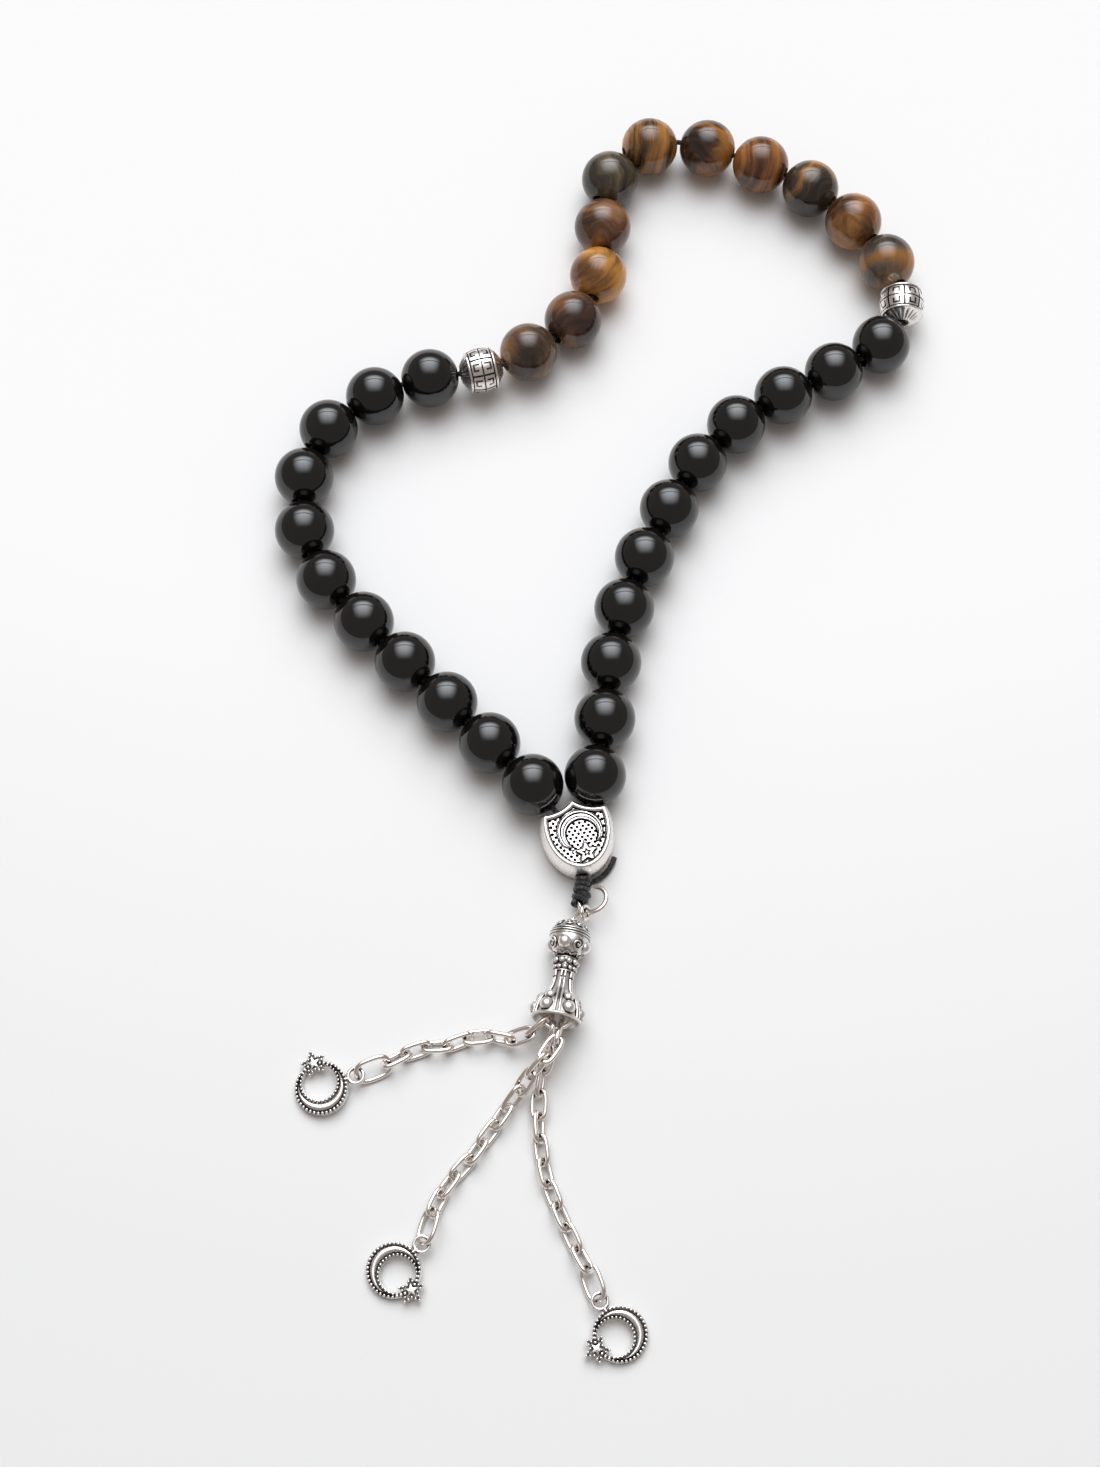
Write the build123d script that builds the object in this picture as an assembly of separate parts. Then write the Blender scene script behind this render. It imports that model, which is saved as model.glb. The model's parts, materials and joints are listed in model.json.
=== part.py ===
from build123d import *
import math
import os

# A misbaha lying on a table: thirty-three round stone beads on one cord, two metal dividers, a
# shield-shaped imam piece that gathers both ends of the cord, and a metal tassel of three chains
# with a crescent and star on each. Millimetres, +Z up, +Y from the tassel to the loop, and the
# origin on the table under the middle of the whole piece.

# ---------------------------------------------------------------- driving dimensions
BEAD_D = 10.0            # stone bead
BEAD_BORE = 2.2          # drilled through each stone bead
BORE_MOUTH = 0.25        # chamfer that opens each end of a bore
CORD_D = 0.9             # waxed cord
BEAD_PLAY = 0.05         # room between one bead and the next
BROWN_PLAY = 0.05        # the brown beads sit a little looser
LOOSE_PLAY = 0.3         # more room where the beads part and the cord shows
DIVIDER_PLAY = 0.3       # between a divider and the beads on each side of it
BEADS_PER_PART = 11      # beads between two dividers

DIVIDER_D = 8.0          # across the band of a divider
DIVIDER_LONG = 7.3       # from hole to hole
DIVIDER_BORE = 2.0
DIVIDER_BAND = 4.2       # width of the band between the fluted ends
DIVIDER_TIP_D = 3.0      # flat ring round each hole

SHIELD_THICK = 6.0
SHIELD_WALL = 0.55       # how far the edge bulges past the two faces
SHIELD_APEX = 5.7        # from the shield's middle up to the point between its shoulders
SHIELD_CORNER = (4.6, 3.9)
SHIELD_SIDE = (5.0, -0.6)
SHIELD_HIP = (3.6, -4.0)
SHIELD_FOOT = -5.4
SHOULDER_DIP = 0.75      # how deep each shoulder is hollowed for its bead
SHIELD_FIELD = 0.5       # depth of the sunk field inside the rim
SHIELD_RIM = 0.75
SHOULDER_HOLE = 1.9
FOOT_HOLE = 2.5

RING_WIRE = 0.8          # jump ring, links and end rings
JUMP_RING_D = 5.4        # outside
PIN_WIRE = 0.65
PIN_EYE_R = 1.05         # middle line of the eye over the cap
PIN_LOOP_R = 2.4         # middle line of the loop inside the bell

BALL_D = 7.0             # ball of the tassel cap
CAP_LONG = 16.9          # from the top of the ball to the mouth of the bell
MOUTH_D = 8.2
CAP_WALL = 0.6

LINK_LONG = 5.3          # outside
LINK_WIDE = 3.0
LINK_PLAY = 0.1          # least room between the wires of two hooked links
LINK_ROLLS = [90, 8, -70, 22, -58, 40]   # the first links turn over step by step,
LINK_ROLL = 45.0                         # then each leans over, the next one the other way

END_RING_LONG = 6.2
END_RING_WIDE = 4.4
END_RING_ROLL = 48.0

CHARM_R = 4.2            # crescent, outside
CHARM_HOLE_R = 2.7
CHARM_HOLE_SHIFT = 0.9   # towards the star
CHARM_THICK = 1.4
STAR_R = 2.1
STAR_REACH = 4.1         # from the crescent's middle to the star's
BAIL_R = 1.2             # middle line of the bail
BAIL_WIRE = 0.6 
BAIL_REACH = 5.6         # from the crescent's middle to the bail's
CHARM_TILT = 7.0         # the bail end is lifted by the ring that it hangs from

# ---------------------------------------------------------------- where things lie
# The cord's route, from inside the shield up the left side, round, and back down the right.
STRAND_ROUTE = [
    (-5.7, -26.5, 2.9),
    (-8.1, -22.7, 3.9),
    (-14.6, -15.9, 5.2),
    (-26.0, -4.2, 5.0),
    (-39.0, 9.0, 5.0),
    (-49.0, 20.0, 5.0),
    (-52.0, 32.5, 5.0),
    (-50.0, 44.5, 5.0),
    (-41.5, 52.5, 5.0),
    (-30.5, 57.0, 5.0),
    (-20.5, 57.6, 5.0),
    (-10.0, 63.0, 5.0),
    (-2.5, 70.5, 5.0),
    (0.7, 82.0, 5.0),
    (-0.6, 92.5, 5.0),
    (2.2, 101.0, 5.0),
    (10.3, 106.3, 5.0),
    (22.0, 103.3, 5.0),
    (33.5, 98.4, 5.0),
    (43.0, 91.0, 5.0),
    (50.0, 81.0, 5.0),
    (53.2, 71.0, 5.0),
    (50.0, 63.4, 5.0),
    (41.0, 58.4, 5.0),
    (26.5, 51.0, 5.0),
    (16.8, 42.5, 5.0),
    (10.3, 30.5, 5.0),
    (4.4, 17.8, 5.0),
    (0.6, 4.5, 5.0),
    (-0.3, -7.5, 5.0),
    (-1.3, -14.2, 5.2),
    (-3.1, -21.6, 3.9),
    (-3.9, -26.1, 2.9),
]
FIRST_BEAD_AT = 10.4                     # along the cord, to the middle of the first bead

SHIELD_AT = Vector(-4.75, -27.1, 0)
SHIELD_HEADING = 100.5                   # from its foot to its apex, degrees from +X

RING_AT = Vector(-2.5, -37.4, 3.3)       # jump ring
RING_TILT = 25.0
EYE_ANGLE = -121.0                       # where the eye of the pin hangs on the ring
KNOT_ANGLE = 152.0                       # where the knot holds the ring

TASSEL_HEADING = -99.4                   # from the eye to the mouth of the bell
TASSEL_DIP = -2.6                        # the cap rests on its ball and on its wider mouth
BALL_TOP = Vector(-5.65, -40.75, 3.36)

# Each chain: where its first link hangs on the loop in the bell, how slack it lies, the heading of
# every link, and the height of the seam at the end of each of the first links.
CHAIN_LEVEL = 1.25
CHAINS = {
    "left": dict(
        hang=-150,
        slack=0.35,
        headings=[-143, -166, 168, -175, -159, -177, -161, -150],
        levels=[3.2, 2.2, 1.6, 1.45, 1.4],
        ring_heading=-158,
        charm_heading=-161,
        star_side=1,
        groups=[2, 2, 2, 2],
    ),
    "middle": dict(
        hang=-70,
        slack=0.4,
        headings=[-104, -124, -132, -131, -128, -124, -126, -126, -132, -126, -115],
        levels=[5.5, 5.6, 4.6, 2.6, 1.5, 1.35],
        ring_heading=-106,
        charm_heading=-138,
        star_side=-1,
        groups=[3, 2, 3, 3],
    ),
    "right": dict(
        hang=-107,
        slack=0.15,
        headings=[-104, -105, -98, -91, -87, -82, -77, -68, -66, -65, -62],
        levels=[2.9, 2.1, 1.6, 1.45, 1.4],
        ring_heading=-70,
        charm_heading=-58,
        star_side=1,
        groups=[3, 3, 2, 3],
    ),
}

UP = Vector(0, 0, 1)


# ---------------------------------------------------------------- helpers
def heading(degrees, dip=0.0):
    """The direction at this many degrees from +X, dipping below the level."""
    flat = math.cos(math.radians(dip))
    angle = math.radians(degrees)
    return Vector(flat * math.cos(angle), flat * math.sin(angle), math.sin(math.radians(dip)))


def lying(point, direction, roll=0.0):
    """A place whose X runs along the direction and whose Z points up, rolled about X."""
    return Plane(origin=point, x_dir=direction, z_dir=UP - direction * UP.dot(direction)).location * Rot(X=roll)


def round_route(points):
    """Straight runs joined by arcs, each as large as its two runs allow."""
    spots = [Vector(*p) for p in points]
    radii = []
    for before, here, after in zip(spots, spots[1:], spots[2:]):
        turn = (here - before).get_angle(after - here)
        shorter = min((here - before).length, (after - here).length)
        radii.append(0.45 * shorter / math.tan(math.radians(turn / 2)))
    return FilletPolyline(*spots, radius=radii), radii


def tube(path, diameter):
    return sweep(Plane(origin=path @ 0, z_dir=path % 0) * Circle(diameter / 2), path=path)


def oval_ring(length, width, wire):
    """A closed oval of wire in the XY plane, its long side along X."""
    bend = (width - wire) / 2
    reach = (length - wire) / 2 - bend
    end = Torus(bend, wire / 2, major_angle=180, align=None)
    side = Cylinder(wire / 2, 2 * reach)
    ring = Pos(X=reach) * Rot(Z=-90) * end + Pos(X=-reach) * Rot(Z=90) * end
    for y in (-bend, bend):
        ring += Pos(Y=y) * Rot(Y=90) * side
    return ring


def as_one(shape, name):
    solids = shape.solids()
    if len(solids) != 1:
        raise ValueError(f"{name} is {len(solids)} solids")
    return solids[0]


def save(name, *shapes):
    whole = shapes[0] if len(shapes) == 1 else Compound(children=list(shapes))
    whole.label = name
    export_step(whole, f"parts/{name}.step")


# ---------------------------------------------------------------- beads and dividers
def drilled(body, length, bore):
    """Drill the bore along Z and open both of its mouths."""
    body -= Cylinder(bore / 2, length + 1)
    for end in (-1, 1):
        cone = Cone(bore / 2, bore / 2 + 2 * BORE_MOUTH, 2 * BORE_MOUTH)
        body -= Pos(Z=end * (length / 2 - BORE_MOUTH / 2)) * Rot(X=0 if end > 0 else 180) * cone
    return body


def stone_bead():
    return as_one(drilled(Sphere(BEAD_D / 2), BEAD_D * 0.98, BEAD_BORE), "bead")


def divider():
    """A barrel band between two cones that run down to the hole."""
    half = DIVIDER_LONG / 2
    band = DIVIDER_BAND / 2
    rim = DIVIDER_D / 2 - 0.45
    with BuildPart() as body:
        with BuildSketch(Plane.XZ):
            with BuildLine():
                Polyline((0, -half), (DIVIDER_TIP_D / 2, -half), (rim, -band))
                ThreePointArc((rim, -band), (DIVIDER_D / 2, 0), (rim, band))
                Polyline((rim, band), (DIVIDER_TIP_D / 2, half), (0, half), (0, -half))
            make_face()
        revolve(axis=Axis.Z)
    return as_one(drilled(body.part, DIVIDER_LONG, DIVIDER_BORE), "divider")


def strung(strand, spot, length):
    """Where a piece sits on the cord: its middle, and the direction of its bore."""
    def at(s):
        return strand.position_at(s, position_mode=PositionMode.LENGTH)

    reach = length / 2
    back, ahead = at(spot - reach), at(spot + reach)
    middle = at(spot) * 0.5 + (back + ahead) * 0.25
    return Vector(middle.X, middle.Y, BEAD_D / 2), (ahead - back).normalized()


def next_spot(strand, spot, middle, length, distance):
    """Further along the cord, where the next piece's middle is this far from the last one's."""
    low, high = spot + 0.8 * distance, spot + 1.3 * distance
    while high - low > 0.0005:
        trial = (low + high) / 2
        if (strung(strand, trial, length)[0] - middle).length < distance:
            low = trial
        else:
            high = trial
    return low


# ---------------------------------------------------------------- imam piece
def shield_outline(grow=0.0):
    """Half of the edge by arcs, mirrored: two hollow shoulders, full sides and a round foot."""
    apex = (0, SHIELD_APEX + grow)
    corner = (SHIELD_CORNER[0] + grow, SHIELD_CORNER[1] + grow * 0.7)
    side = (SHIELD_SIDE[0] + grow, SHIELD_SIDE[1])
    hip = (SHIELD_HIP[0] + grow * 0.7, SHIELD_HIP[1] - grow * 0.7)
    foot = (0, SHIELD_FOOT - grow)
    lean = math.atan2(apex[1] - corner[1], corner[0])
    dip = SHOULDER_DIP
    shoulder = (corner[0] / 2 - dip * math.sin(lean), (apex[1] + corner[1]) / 2 - dip * math.cos(lean))
    with BuildSketch() as half:
        with BuildLine():
            ThreePointArc(apex, shoulder, corner)
            Spline(corner, side, hip, foot, tangents=[(0.3, -1), (-1, 0)])
            Line(foot, apex)
        make_face()
    return half.sketch + mirror(half.sketch, Plane.YZ)


def shield_body():
    """Two faces joined by a full, bulging edge."""
    middle = SHIELD_THICK / 2
    levels = [(0, 0), (SHIELD_WALL, middle - 1.1), (SHIELD_WALL, middle + 1.1), (0, SHIELD_THICK)]
    body = None
    for (grow, low), (grow_up, high) in zip(levels, levels[1:]):
        slab = loft([Pos(Z=low) * shield_outline(grow), Pos(Z=high) * shield_outline(grow_up)], ruled=True)
        body = slab if body is None else body + slab
    return body


def star(radius, inner=0.42):
    corners = []
    for point in range(10):
        reach = radius if point % 2 == 0 else radius * inner
        angle = math.radians(90 + 36 * point)
        corners.append((reach * math.cos(angle), reach * math.sin(angle)))
    return make_face(Polyline(*corners, close=True).edges())


def channel(start, end, diameter):
    """A straight drilled way from one point to another."""
    run = Vector(*end) - Vector(*start)
    middle = (Vector(*start) + Vector(*end)) * 0.5
    return Plane(origin=middle, z_dir=run).location * Cylinder(diameter / 2, run.length)


def imam_shield(place):
    body = shield_body()
    field = extrude(Pos(Z=SHIELD_THICK) * shield_outline(-SHIELD_RIM), -SHIELD_FIELD)
    outer = Pos(0, 0.7) * Circle(3.5)
    inner = Pos(-0.15, 0.15) * Circle(2.6)
    emblem = extrude(Pos(Z=SHIELD_THICK - SHIELD_FIELD) * (outer - inner), SHIELD_FIELD)
    emblem += Pos(0.35, -2.6, SHIELD_THICK - SHIELD_FIELD) * extrude(star(1.5), SHIELD_FIELD)
    body = body - field + (emblem & field)
    # the cord's three ways out of the chamber in the middle
    ends = [STRAND_ROUTE[0], STRAND_ROUTE[-1]]
    outs = [STRAND_ROUTE[2], STRAND_ROUTE[-3]]
    mouths = [STRAND_ROUTE[1], STRAND_ROUTE[-2]]
    back = place.inverse()
    chamber = Pos(0, 0.4, 2.9) * Sphere(1.9)
    body -= chamber
    for end, mouth, out in zip(ends, mouths, outs):
        local = [tuple((back * Pos(*spot)).position) for spot in (end, mouth, out)]
        body -= channel(local[0], local[1], SHOULDER_HOLE)
        body -= channel(local[1], local[2], SHOULDER_HOLE)
        body -= Pos(*local[1]) * Sphere(SHOULDER_HOLE / 2)
    body -= channel((0, 0.4, 2.9), (0, SHIELD_FOOT - 3, 2.7), FOOT_HOLE)
    return place * as_one(body, "imam shield")


# ---------------------------------------------------------------- knot, ring and pin
def ring_place():
    """The jump ring leans about the line from its middle to the eye."""
    radial = heading(EYE_ANGLE)
    return Plane(origin=RING_AT, x_dir=radial, z_dir=UP).location * Rot(X=RING_TILT)


def on_ring(angle):
    """A point of the jump ring's middle line and the wire's direction there."""
    turn = math.radians(angle - EYE_ANGLE)
    radius = (JUMP_RING_D - RING_WIRE) / 2
    place = ring_place()
    point = (place * Pos(radius * math.cos(turn), radius * math.sin(turn), 0)).position
    ahead = (place * Pos(-math.sin(turn), math.cos(turn), 0)).position - place.position
    return point, ahead


def cord_knot():
    """Three turns of cord round the ring, and the two strands that come down to them."""
    turn_r = RING_WIRE / 2 + CORD_D / 2 + 0.16
    knot = None
    for step in (-26, 0, 26):
        point, ahead = on_ring(KNOT_ANGLE + step)
        turn = Plane(origin=point, z_dir=ahead).location * Torus(turn_r, CORD_D / 2)
        knot = turn if knot is None else knot + turn
    top, along = on_ring(KNOT_ANGLE)
    foot = SHIELD_AT + heading(SHIELD_HEADING) * (SHIELD_FOOT + 1.4)
    outward = (top - RING_AT).normalized()
    for side in (-0.5, 0.5):
        start = Vector(foot.X + side * 1.05, foot.Y, 2.75)
        waist = start - heading(SHIELD_HEADING) * 2.4
        lift = top + outward * turn_r * 1.15 + along * side * 1.2
        path = FilletPolyline(start, waist, lift, radius=0.9)
        knot += tube(path, CORD_D)
    return as_one(knot, "knot")


def cord_tail():
    """The cut end, curled round the shield's foot."""
    points = [(-2.0, -33.4, 0.5), (-0.2, -32.6, 0.5), (1.1, -31.0, 0.5), (1.5, -29.0, 0.5)]
    path, radii = round_route(points)
    print("tail radii", [round(r, 1) for r in radii])
    return as_one(tube(path, CORD_D), "tail")


def jump_ring():
    """Bent round from wire, with the cut where the knot hides it."""
    cut = 7.0
    ring = Torus((JUMP_RING_D - RING_WIRE) / 2, RING_WIRE / 2, major_angle=360 - cut, align=None)
    open_at = KNOT_ANGLE - EYE_ANGLE - 62
    return as_one(ring_place() * Rot(Z=open_at) * ring, "jump ring")


TASSEL_WAY = heading(TASSEL_HEADING, -TASSEL_DIP)     # along the cap, ball to mouth
TASSEL_SIDE = heading(TASSEL_HEADING + 90)
EYE_AT = on_ring(EYE_ANGLE)[0] + TASSEL_WAY * 0.21
EYE_LEAN = -55.0                                      # of the eye's plane about the pin
MOUTH_AT = BALL_TOP + TASSEL_WAY * CAP_LONG
LOOP_AT = MOUTH_AT - TASSEL_WAY * 1.2                 # loop in the bell, for the chains


def eye_pin():
    """One wire: an eye over the ball, a shaft through the cap, a wide loop in the bell."""
    lean = math.radians(EYE_LEAN)
    across = (TASSEL_SIDE * math.cos(lean) + UP * math.sin(lean)).normalized()
    start = EYE_AT - across * PIN_EYE_R - TASSEL_WAY * 0.15
    shaft = FilletPolyline(start, BALL_TOP - TASSEL_WAY * 0.3, LOOP_AT - TASSEL_WAY * PIN_LOOP_R, radius=0.3)
    pin = tube(shaft, PIN_WIRE)
    pin += lying(LOOP_AT, TASSEL_WAY) * Torus(PIN_LOOP_R, PIN_WIRE / 2)
    eye_place = Plane(origin=EYE_AT, x_dir=across, z_dir=across.cross(TASSEL_WAY)).location
    pin += eye_place * Torus(PIN_EYE_R, PIN_WIRE / 2)
    return as_one(pin, "eye pin")


def tassel_cap():
    """Ball, beaded neck and flared bell in one hollow casting, turned about the pin."""
    ball = BALL_D / 2
    mouth = MOUTH_D / 2
    neck_top = 6.5
    with BuildPart() as body:
        with BuildSketch(Plane.XZ):
            with BuildLine():
                Line((0, 0), (0, CAP_LONG))
                Line((0, CAP_LONG), (mouth, CAP_LONG))
                Spline((mouth, CAP_LONG), (3.5, 14.5), (2.1, 11.3), (1.6, 8.9))
                Polyline((1.6, 8.9), (2.0, 8.4), (1.75, 7.95), (2.0, 7.5), (1.75, 7.1))
                Line((1.75, 7.1), (1.5, neck_top))
                ThreePointArc((1.5, neck_top), (ball, ball), (0, 0))
            make_face()
        revolve(axis=Axis.Z)
        with BuildSketch(Plane.XZ):
            with BuildLine():
                Polyline((0, 12.2), (0, CAP_LONG + 0.01), (mouth - CAP_WALL, CAP_LONG + 0.01))
                Polyline((mouth - CAP_WALL, CAP_LONG + 0.01), (3.5 - CAP_WALL, 14.5), (1.6, 12.2), (0, 12.2))
            make_face()
        revolve(axis=Axis.Z, mode=Mode.SUBTRACT)
    cap = body.part - Pos(Z=CAP_LONG / 2) * Cylinder(PIN_WIRE / 2 + 0.1, CAP_LONG + 2)
    place = Plane(origin=BALL_TOP, z_dir=TASSEL_WAY).location
    return place * as_one(cap, "tassel cap")


# ---------------------------------------------------------------- chains and charms
def charm(star_side):
    """Crescent round the origin, bail up +X, star at a right angle to it."""
    moon = Circle(CHARM_R) - Pos(0, star_side * CHARM_HOLE_SHIFT) * Circle(CHARM_HOLE_R)
    turned = Rot(Z=0 if star_side > 0 else 180)
    points = Pos(0, star_side * STAR_REACH) * turned * star(STAR_R)
    body = extrude(moon + points, CHARM_THICK)
    neck = Pos(X=CHARM_R + 0.1, Z=CHARM_THICK / 2) * Rot(Y=90) * Cylinder(BAIL_WIRE / 2, 0.9)
    bail = Pos(X=BAIL_REACH + 0.05, Z=CHARM_THICK / 2) * Torus(BAIL_R, BAIL_WIRE / 2)
    inside = Pos(X=BAIL_REACH + 0.05, Z=CHARM_THICK / 2) * Cylinder(BAIL_R - BAIL_WIRE / 2, CHARM_THICK * 2)
    return as_one(body + neck - inside + bail, "charm")


def chain_pieces(plan):
    """The links of one chain, its end ring and its charm, with the seams they turn at."""
    pitch = LINK_LONG - 2 * RING_WIRE - plan["slack"]
    link = oval_ring(LINK_LONG, LINK_WIDE, RING_WIRE)
    hang = Rot(Z=plan["hang"] - TASSEL_HEADING) * Pos(X=PIN_LOOP_R - PIN_WIRE / 2 - plan["slack"] / 2)
    seam = (lying(LOOP_AT, TASSEL_WAY) * hang).position
    ring_z = (END_RING_WIDE - RING_WIRE) / 2 * math.sin(math.radians(END_RING_ROLL)) + RING_WIRE / 2 + 0.02
    levels = plan["levels"] + [CHAIN_LEVEL] * (len(plan["headings"]) - len(plan["levels"]) - 1) + [ring_z]
    seams, links = [seam], []
    for number, (turn, level) in enumerate(zip(plan["headings"], levels)):
        dip = math.degrees(math.asin((level - seam.Z) / pitch))
        way = heading(turn, dip)
        roll = LINK_ROLLS[number] if number < len(LINK_ROLLS) else LINK_ROLL * (-1) ** (number + 1)
        middle = seam + way * (pitch / 2)
        links.append(lying(middle, way, roll) * link)
        seam = seam + way * pitch
        seams.append(seam)
    # the end ring, and the charm hooked on its far end
    way = heading(plan["ring_heading"])
    reach = END_RING_LONG / 2 - RING_WIRE - LINK_PLAY / 2
    ring_at = seam + way * reach
    roll = END_RING_ROLL * (-1) ** (len(links) + 1)
    ring = lying(ring_at, way, roll) * oval_ring(END_RING_LONG, END_RING_WIDE, RING_WIRE)
    hook = ring_at + way * (END_RING_LONG / 2 - RING_WIRE / 2)
    seams.append(hook)
    charm_way = heading(plan["charm_heading"])
    tip = math.radians(CHARM_TILT)
    back = charm_way * -math.cos(tip) + UP * math.sin(tip)
    far_edge = hook + charm_way * ((CHARM_R + BAIL_REACH) * math.cos(tip) + 0.15)
    pivot = Vector(far_edge.X, far_edge.Y, 0)
    place = Plane(origin=pivot, x_dir=back, z_dir=UP * math.cos(tip) + charm_way * math.sin(tip)).location
    hung = place * Pos(X=CHARM_R) * charm(plan["star_side"])
    return links, ring, hung, seams


def main():
    os.makedirs("parts", exist_ok=True)
    strand, radii = round_route(STRAND_ROUTE)
    cord = tube(strand, CORD_D)
    print("cord radii", [round(r, 1) for r in radii])
    section = math.pi * CORD_D ** 2 / 4
    print("cord length", round(strand.length, 2), "volume share", round(cord.volume / section / strand.length, 4))
    save("strand_cord", as_one(cord, "cord"))

    bead, band = stone_bead(), divider()
    bead_bead = BEAD_D + BEAD_PLAY
    bead_band = (BEAD_D + DIVIDER_LONG) / 2 + DIVIDER_PLAY
    order = ["onyx"] * BEADS_PER_PART + ["divider"] + ["tigereye"] * BEADS_PER_PART
    order += ["divider"] + ["onyx"] * BEADS_PER_PART
    counts = {"onyx": 0, "tigereye": 0, "divider": 0}
    spot, before = FIRST_BEAD_AT, None
    for kind in order:
        length = DIVIDER_LONG if kind == "divider" else BEAD_D
        if before:
            step = bead_band if "divider" in (kind, before) else bead_bead
            if before == kind == "tigereye":
                step += BROWN_PLAY + (LOOSE_PLAY if counts[kind] == 6 else 0)
            spot = next_spot(strand, spot, middle, length, step)
        counts[kind] += 1
        middle, way = strung(strand, spot, length)
        place = Plane(origin=middle, z_dir=way).location
        name = f"divider_{counts[kind]}" if kind == "divider" else f"{kind}_bead_{counts[kind]:02d}"
        save(name, place * (band if kind == "divider" else bead))
        print(name, "middle", tuple(round(v, 3) for v in middle), "bore", tuple(round(v, 4) for v in way))
        before = kind
    print("cord left past the last bead", round(strand.length - spot, 2))

    shield_place = Plane(origin=SHIELD_AT, x_dir=heading(SHIELD_HEADING - 90), z_dir=UP).location
    save("imam_shield", imam_shield(shield_place))
    save("cord_knot", cord_knot())
    save("cord_tail", cord_tail())
    save("jump_ring", jump_ring())
    save("eye_pin", eye_pin())
    save("tassel_cap", tassel_cap())
    neck = SHIELD_AT + heading(SHIELD_HEADING) * (SHIELD_FOOT - 0.3)
    print("foot", (round(neck.X, 3), round(neck.Y, 3), 2.75))
    print("rest face", (SHIELD_AT.X, SHIELD_AT.Y, 0.0))
    print("ring", on_ring(KNOT_ANGLE), "eye", on_ring(EYE_ANGLE))
    print("ball top", BALL_TOP, "mouth", MOUTH_AT, "way", TASSEL_WAY)

    for side, plan in CHAINS.items():
        links, ring, hung, seams = chain_pieces(plan)
        first = 0
        for number, size in enumerate(plan["groups"], start=1):
            save(f"{side}_chain_{number}", *links[first:first + size])
            print(f"{side}_chain_{number} turns at", tuple(round(v, 2) for v in seams[first]))
            first += size
        save(f"{side}_end_ring", ring)
        save(f"{side}_charm", hung)
        print(f"{side}_end_ring turns at", tuple(round(v, 2) for v in seams[-2]))
        print(f"{side}_charm turns at", tuple(round(v, 2) for v in seams[-1]))


main()
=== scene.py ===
# %% [markdown]
# # Misbaha prayer beads
# Thirty-three polished stone beads on one black cord, two cast dividers, a shield-shaped imam piece
# and a metal tassel of three chains that end in crescents and stars. The CAD frame gives every
# place and size; this script makes the surfaces that are seen, in metres and in the same frame.
# %% Load the frame
import json
import math

import bmesh
import bpy
import numpy as np
from mathutils import Matrix, Vector
from mathutils.geometry import interpolate_bezier


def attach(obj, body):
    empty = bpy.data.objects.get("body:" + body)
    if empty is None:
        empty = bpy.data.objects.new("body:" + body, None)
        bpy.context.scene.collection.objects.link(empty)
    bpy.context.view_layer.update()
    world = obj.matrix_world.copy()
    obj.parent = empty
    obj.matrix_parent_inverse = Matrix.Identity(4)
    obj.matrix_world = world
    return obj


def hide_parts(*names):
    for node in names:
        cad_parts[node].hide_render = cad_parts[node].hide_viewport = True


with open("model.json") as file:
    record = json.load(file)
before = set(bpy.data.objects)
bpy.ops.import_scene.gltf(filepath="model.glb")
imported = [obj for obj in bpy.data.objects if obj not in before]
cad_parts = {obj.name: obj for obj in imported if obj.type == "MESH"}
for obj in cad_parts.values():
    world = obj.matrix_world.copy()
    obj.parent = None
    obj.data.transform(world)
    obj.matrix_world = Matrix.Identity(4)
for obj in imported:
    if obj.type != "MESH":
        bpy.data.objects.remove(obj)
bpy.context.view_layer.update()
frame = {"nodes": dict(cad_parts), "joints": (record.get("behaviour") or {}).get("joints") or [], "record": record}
MM = 0.001
joints = {joint["child"]: joint for joint in frame["joints"]}
members_of = frame["record"]["behaviour"]["bodies"]
body_of = {node: body for body, members in members_of.items() for node in members}

# %% [markdown]
# ## Putting a piece in its place
# Every piece is built round the origin in millimetres, which are easier to read than metres, and
# then its vertices are moved into place. The object itself stays unturned at the origin of the
# frame, so a pattern on object coordinates keeps its place. Each piece stands for one CAD node,
# rides on that node's body, and wears the finish it is given.
# %% Places, and finishing a mesh
WELD = 0.0005


def along(point, direction, up=Vector((0, 0, 1))):
    """A place in millimetres whose Z runs along the direction and whose X is as level as can be."""
    z = direction.normalized()
    x = up.cross(z)
    x = x.normalized() if x.length > 1e-6 else Vector((1, 0, 0))
    y = z.cross(x)
    return Matrix.Translation(point) @ Matrix((x, y, z)).transposed().to_4x4()


def heading(degrees, dip=0.0):
    angle, low = math.radians(degrees), math.radians(dip)
    return Vector((math.cos(low) * math.cos(angle), math.cos(low) * math.sin(angle), math.sin(low)))


def stand_for(obj, node):
    """This piece is what shows of that CAD node, and moves with it."""
    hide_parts(node)
    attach(obj, body_of[node])


def settle(bm, name, place, material, node, sharp=35.0):
    """Weld, turn the normals outward, mark the sharp edges, and move the mesh into place."""
    bmesh.ops.remove_doubles(bm, verts=bm.verts, dist=WELD)
    bmesh.ops.recalc_face_normals(bm, faces=bm.faces)
    for face in bm.faces:
        face.smooth = True
    for edge in bm.edges:
        edge.smooth = edge.calc_face_angle(0.0) < math.radians(sharp)
    bm.transform(Matrix.Scale(MM, 4) @ place)
    mesh = bpy.data.meshes.new(name)
    bm.to_mesh(mesh)
    bm.free()
    mesh.materials.append(material)
    obj = bpy.data.objects.new(name, mesh)
    bpy.context.scene.collection.objects.link(obj)
    stand_for(obj, node)
    return obj


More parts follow.
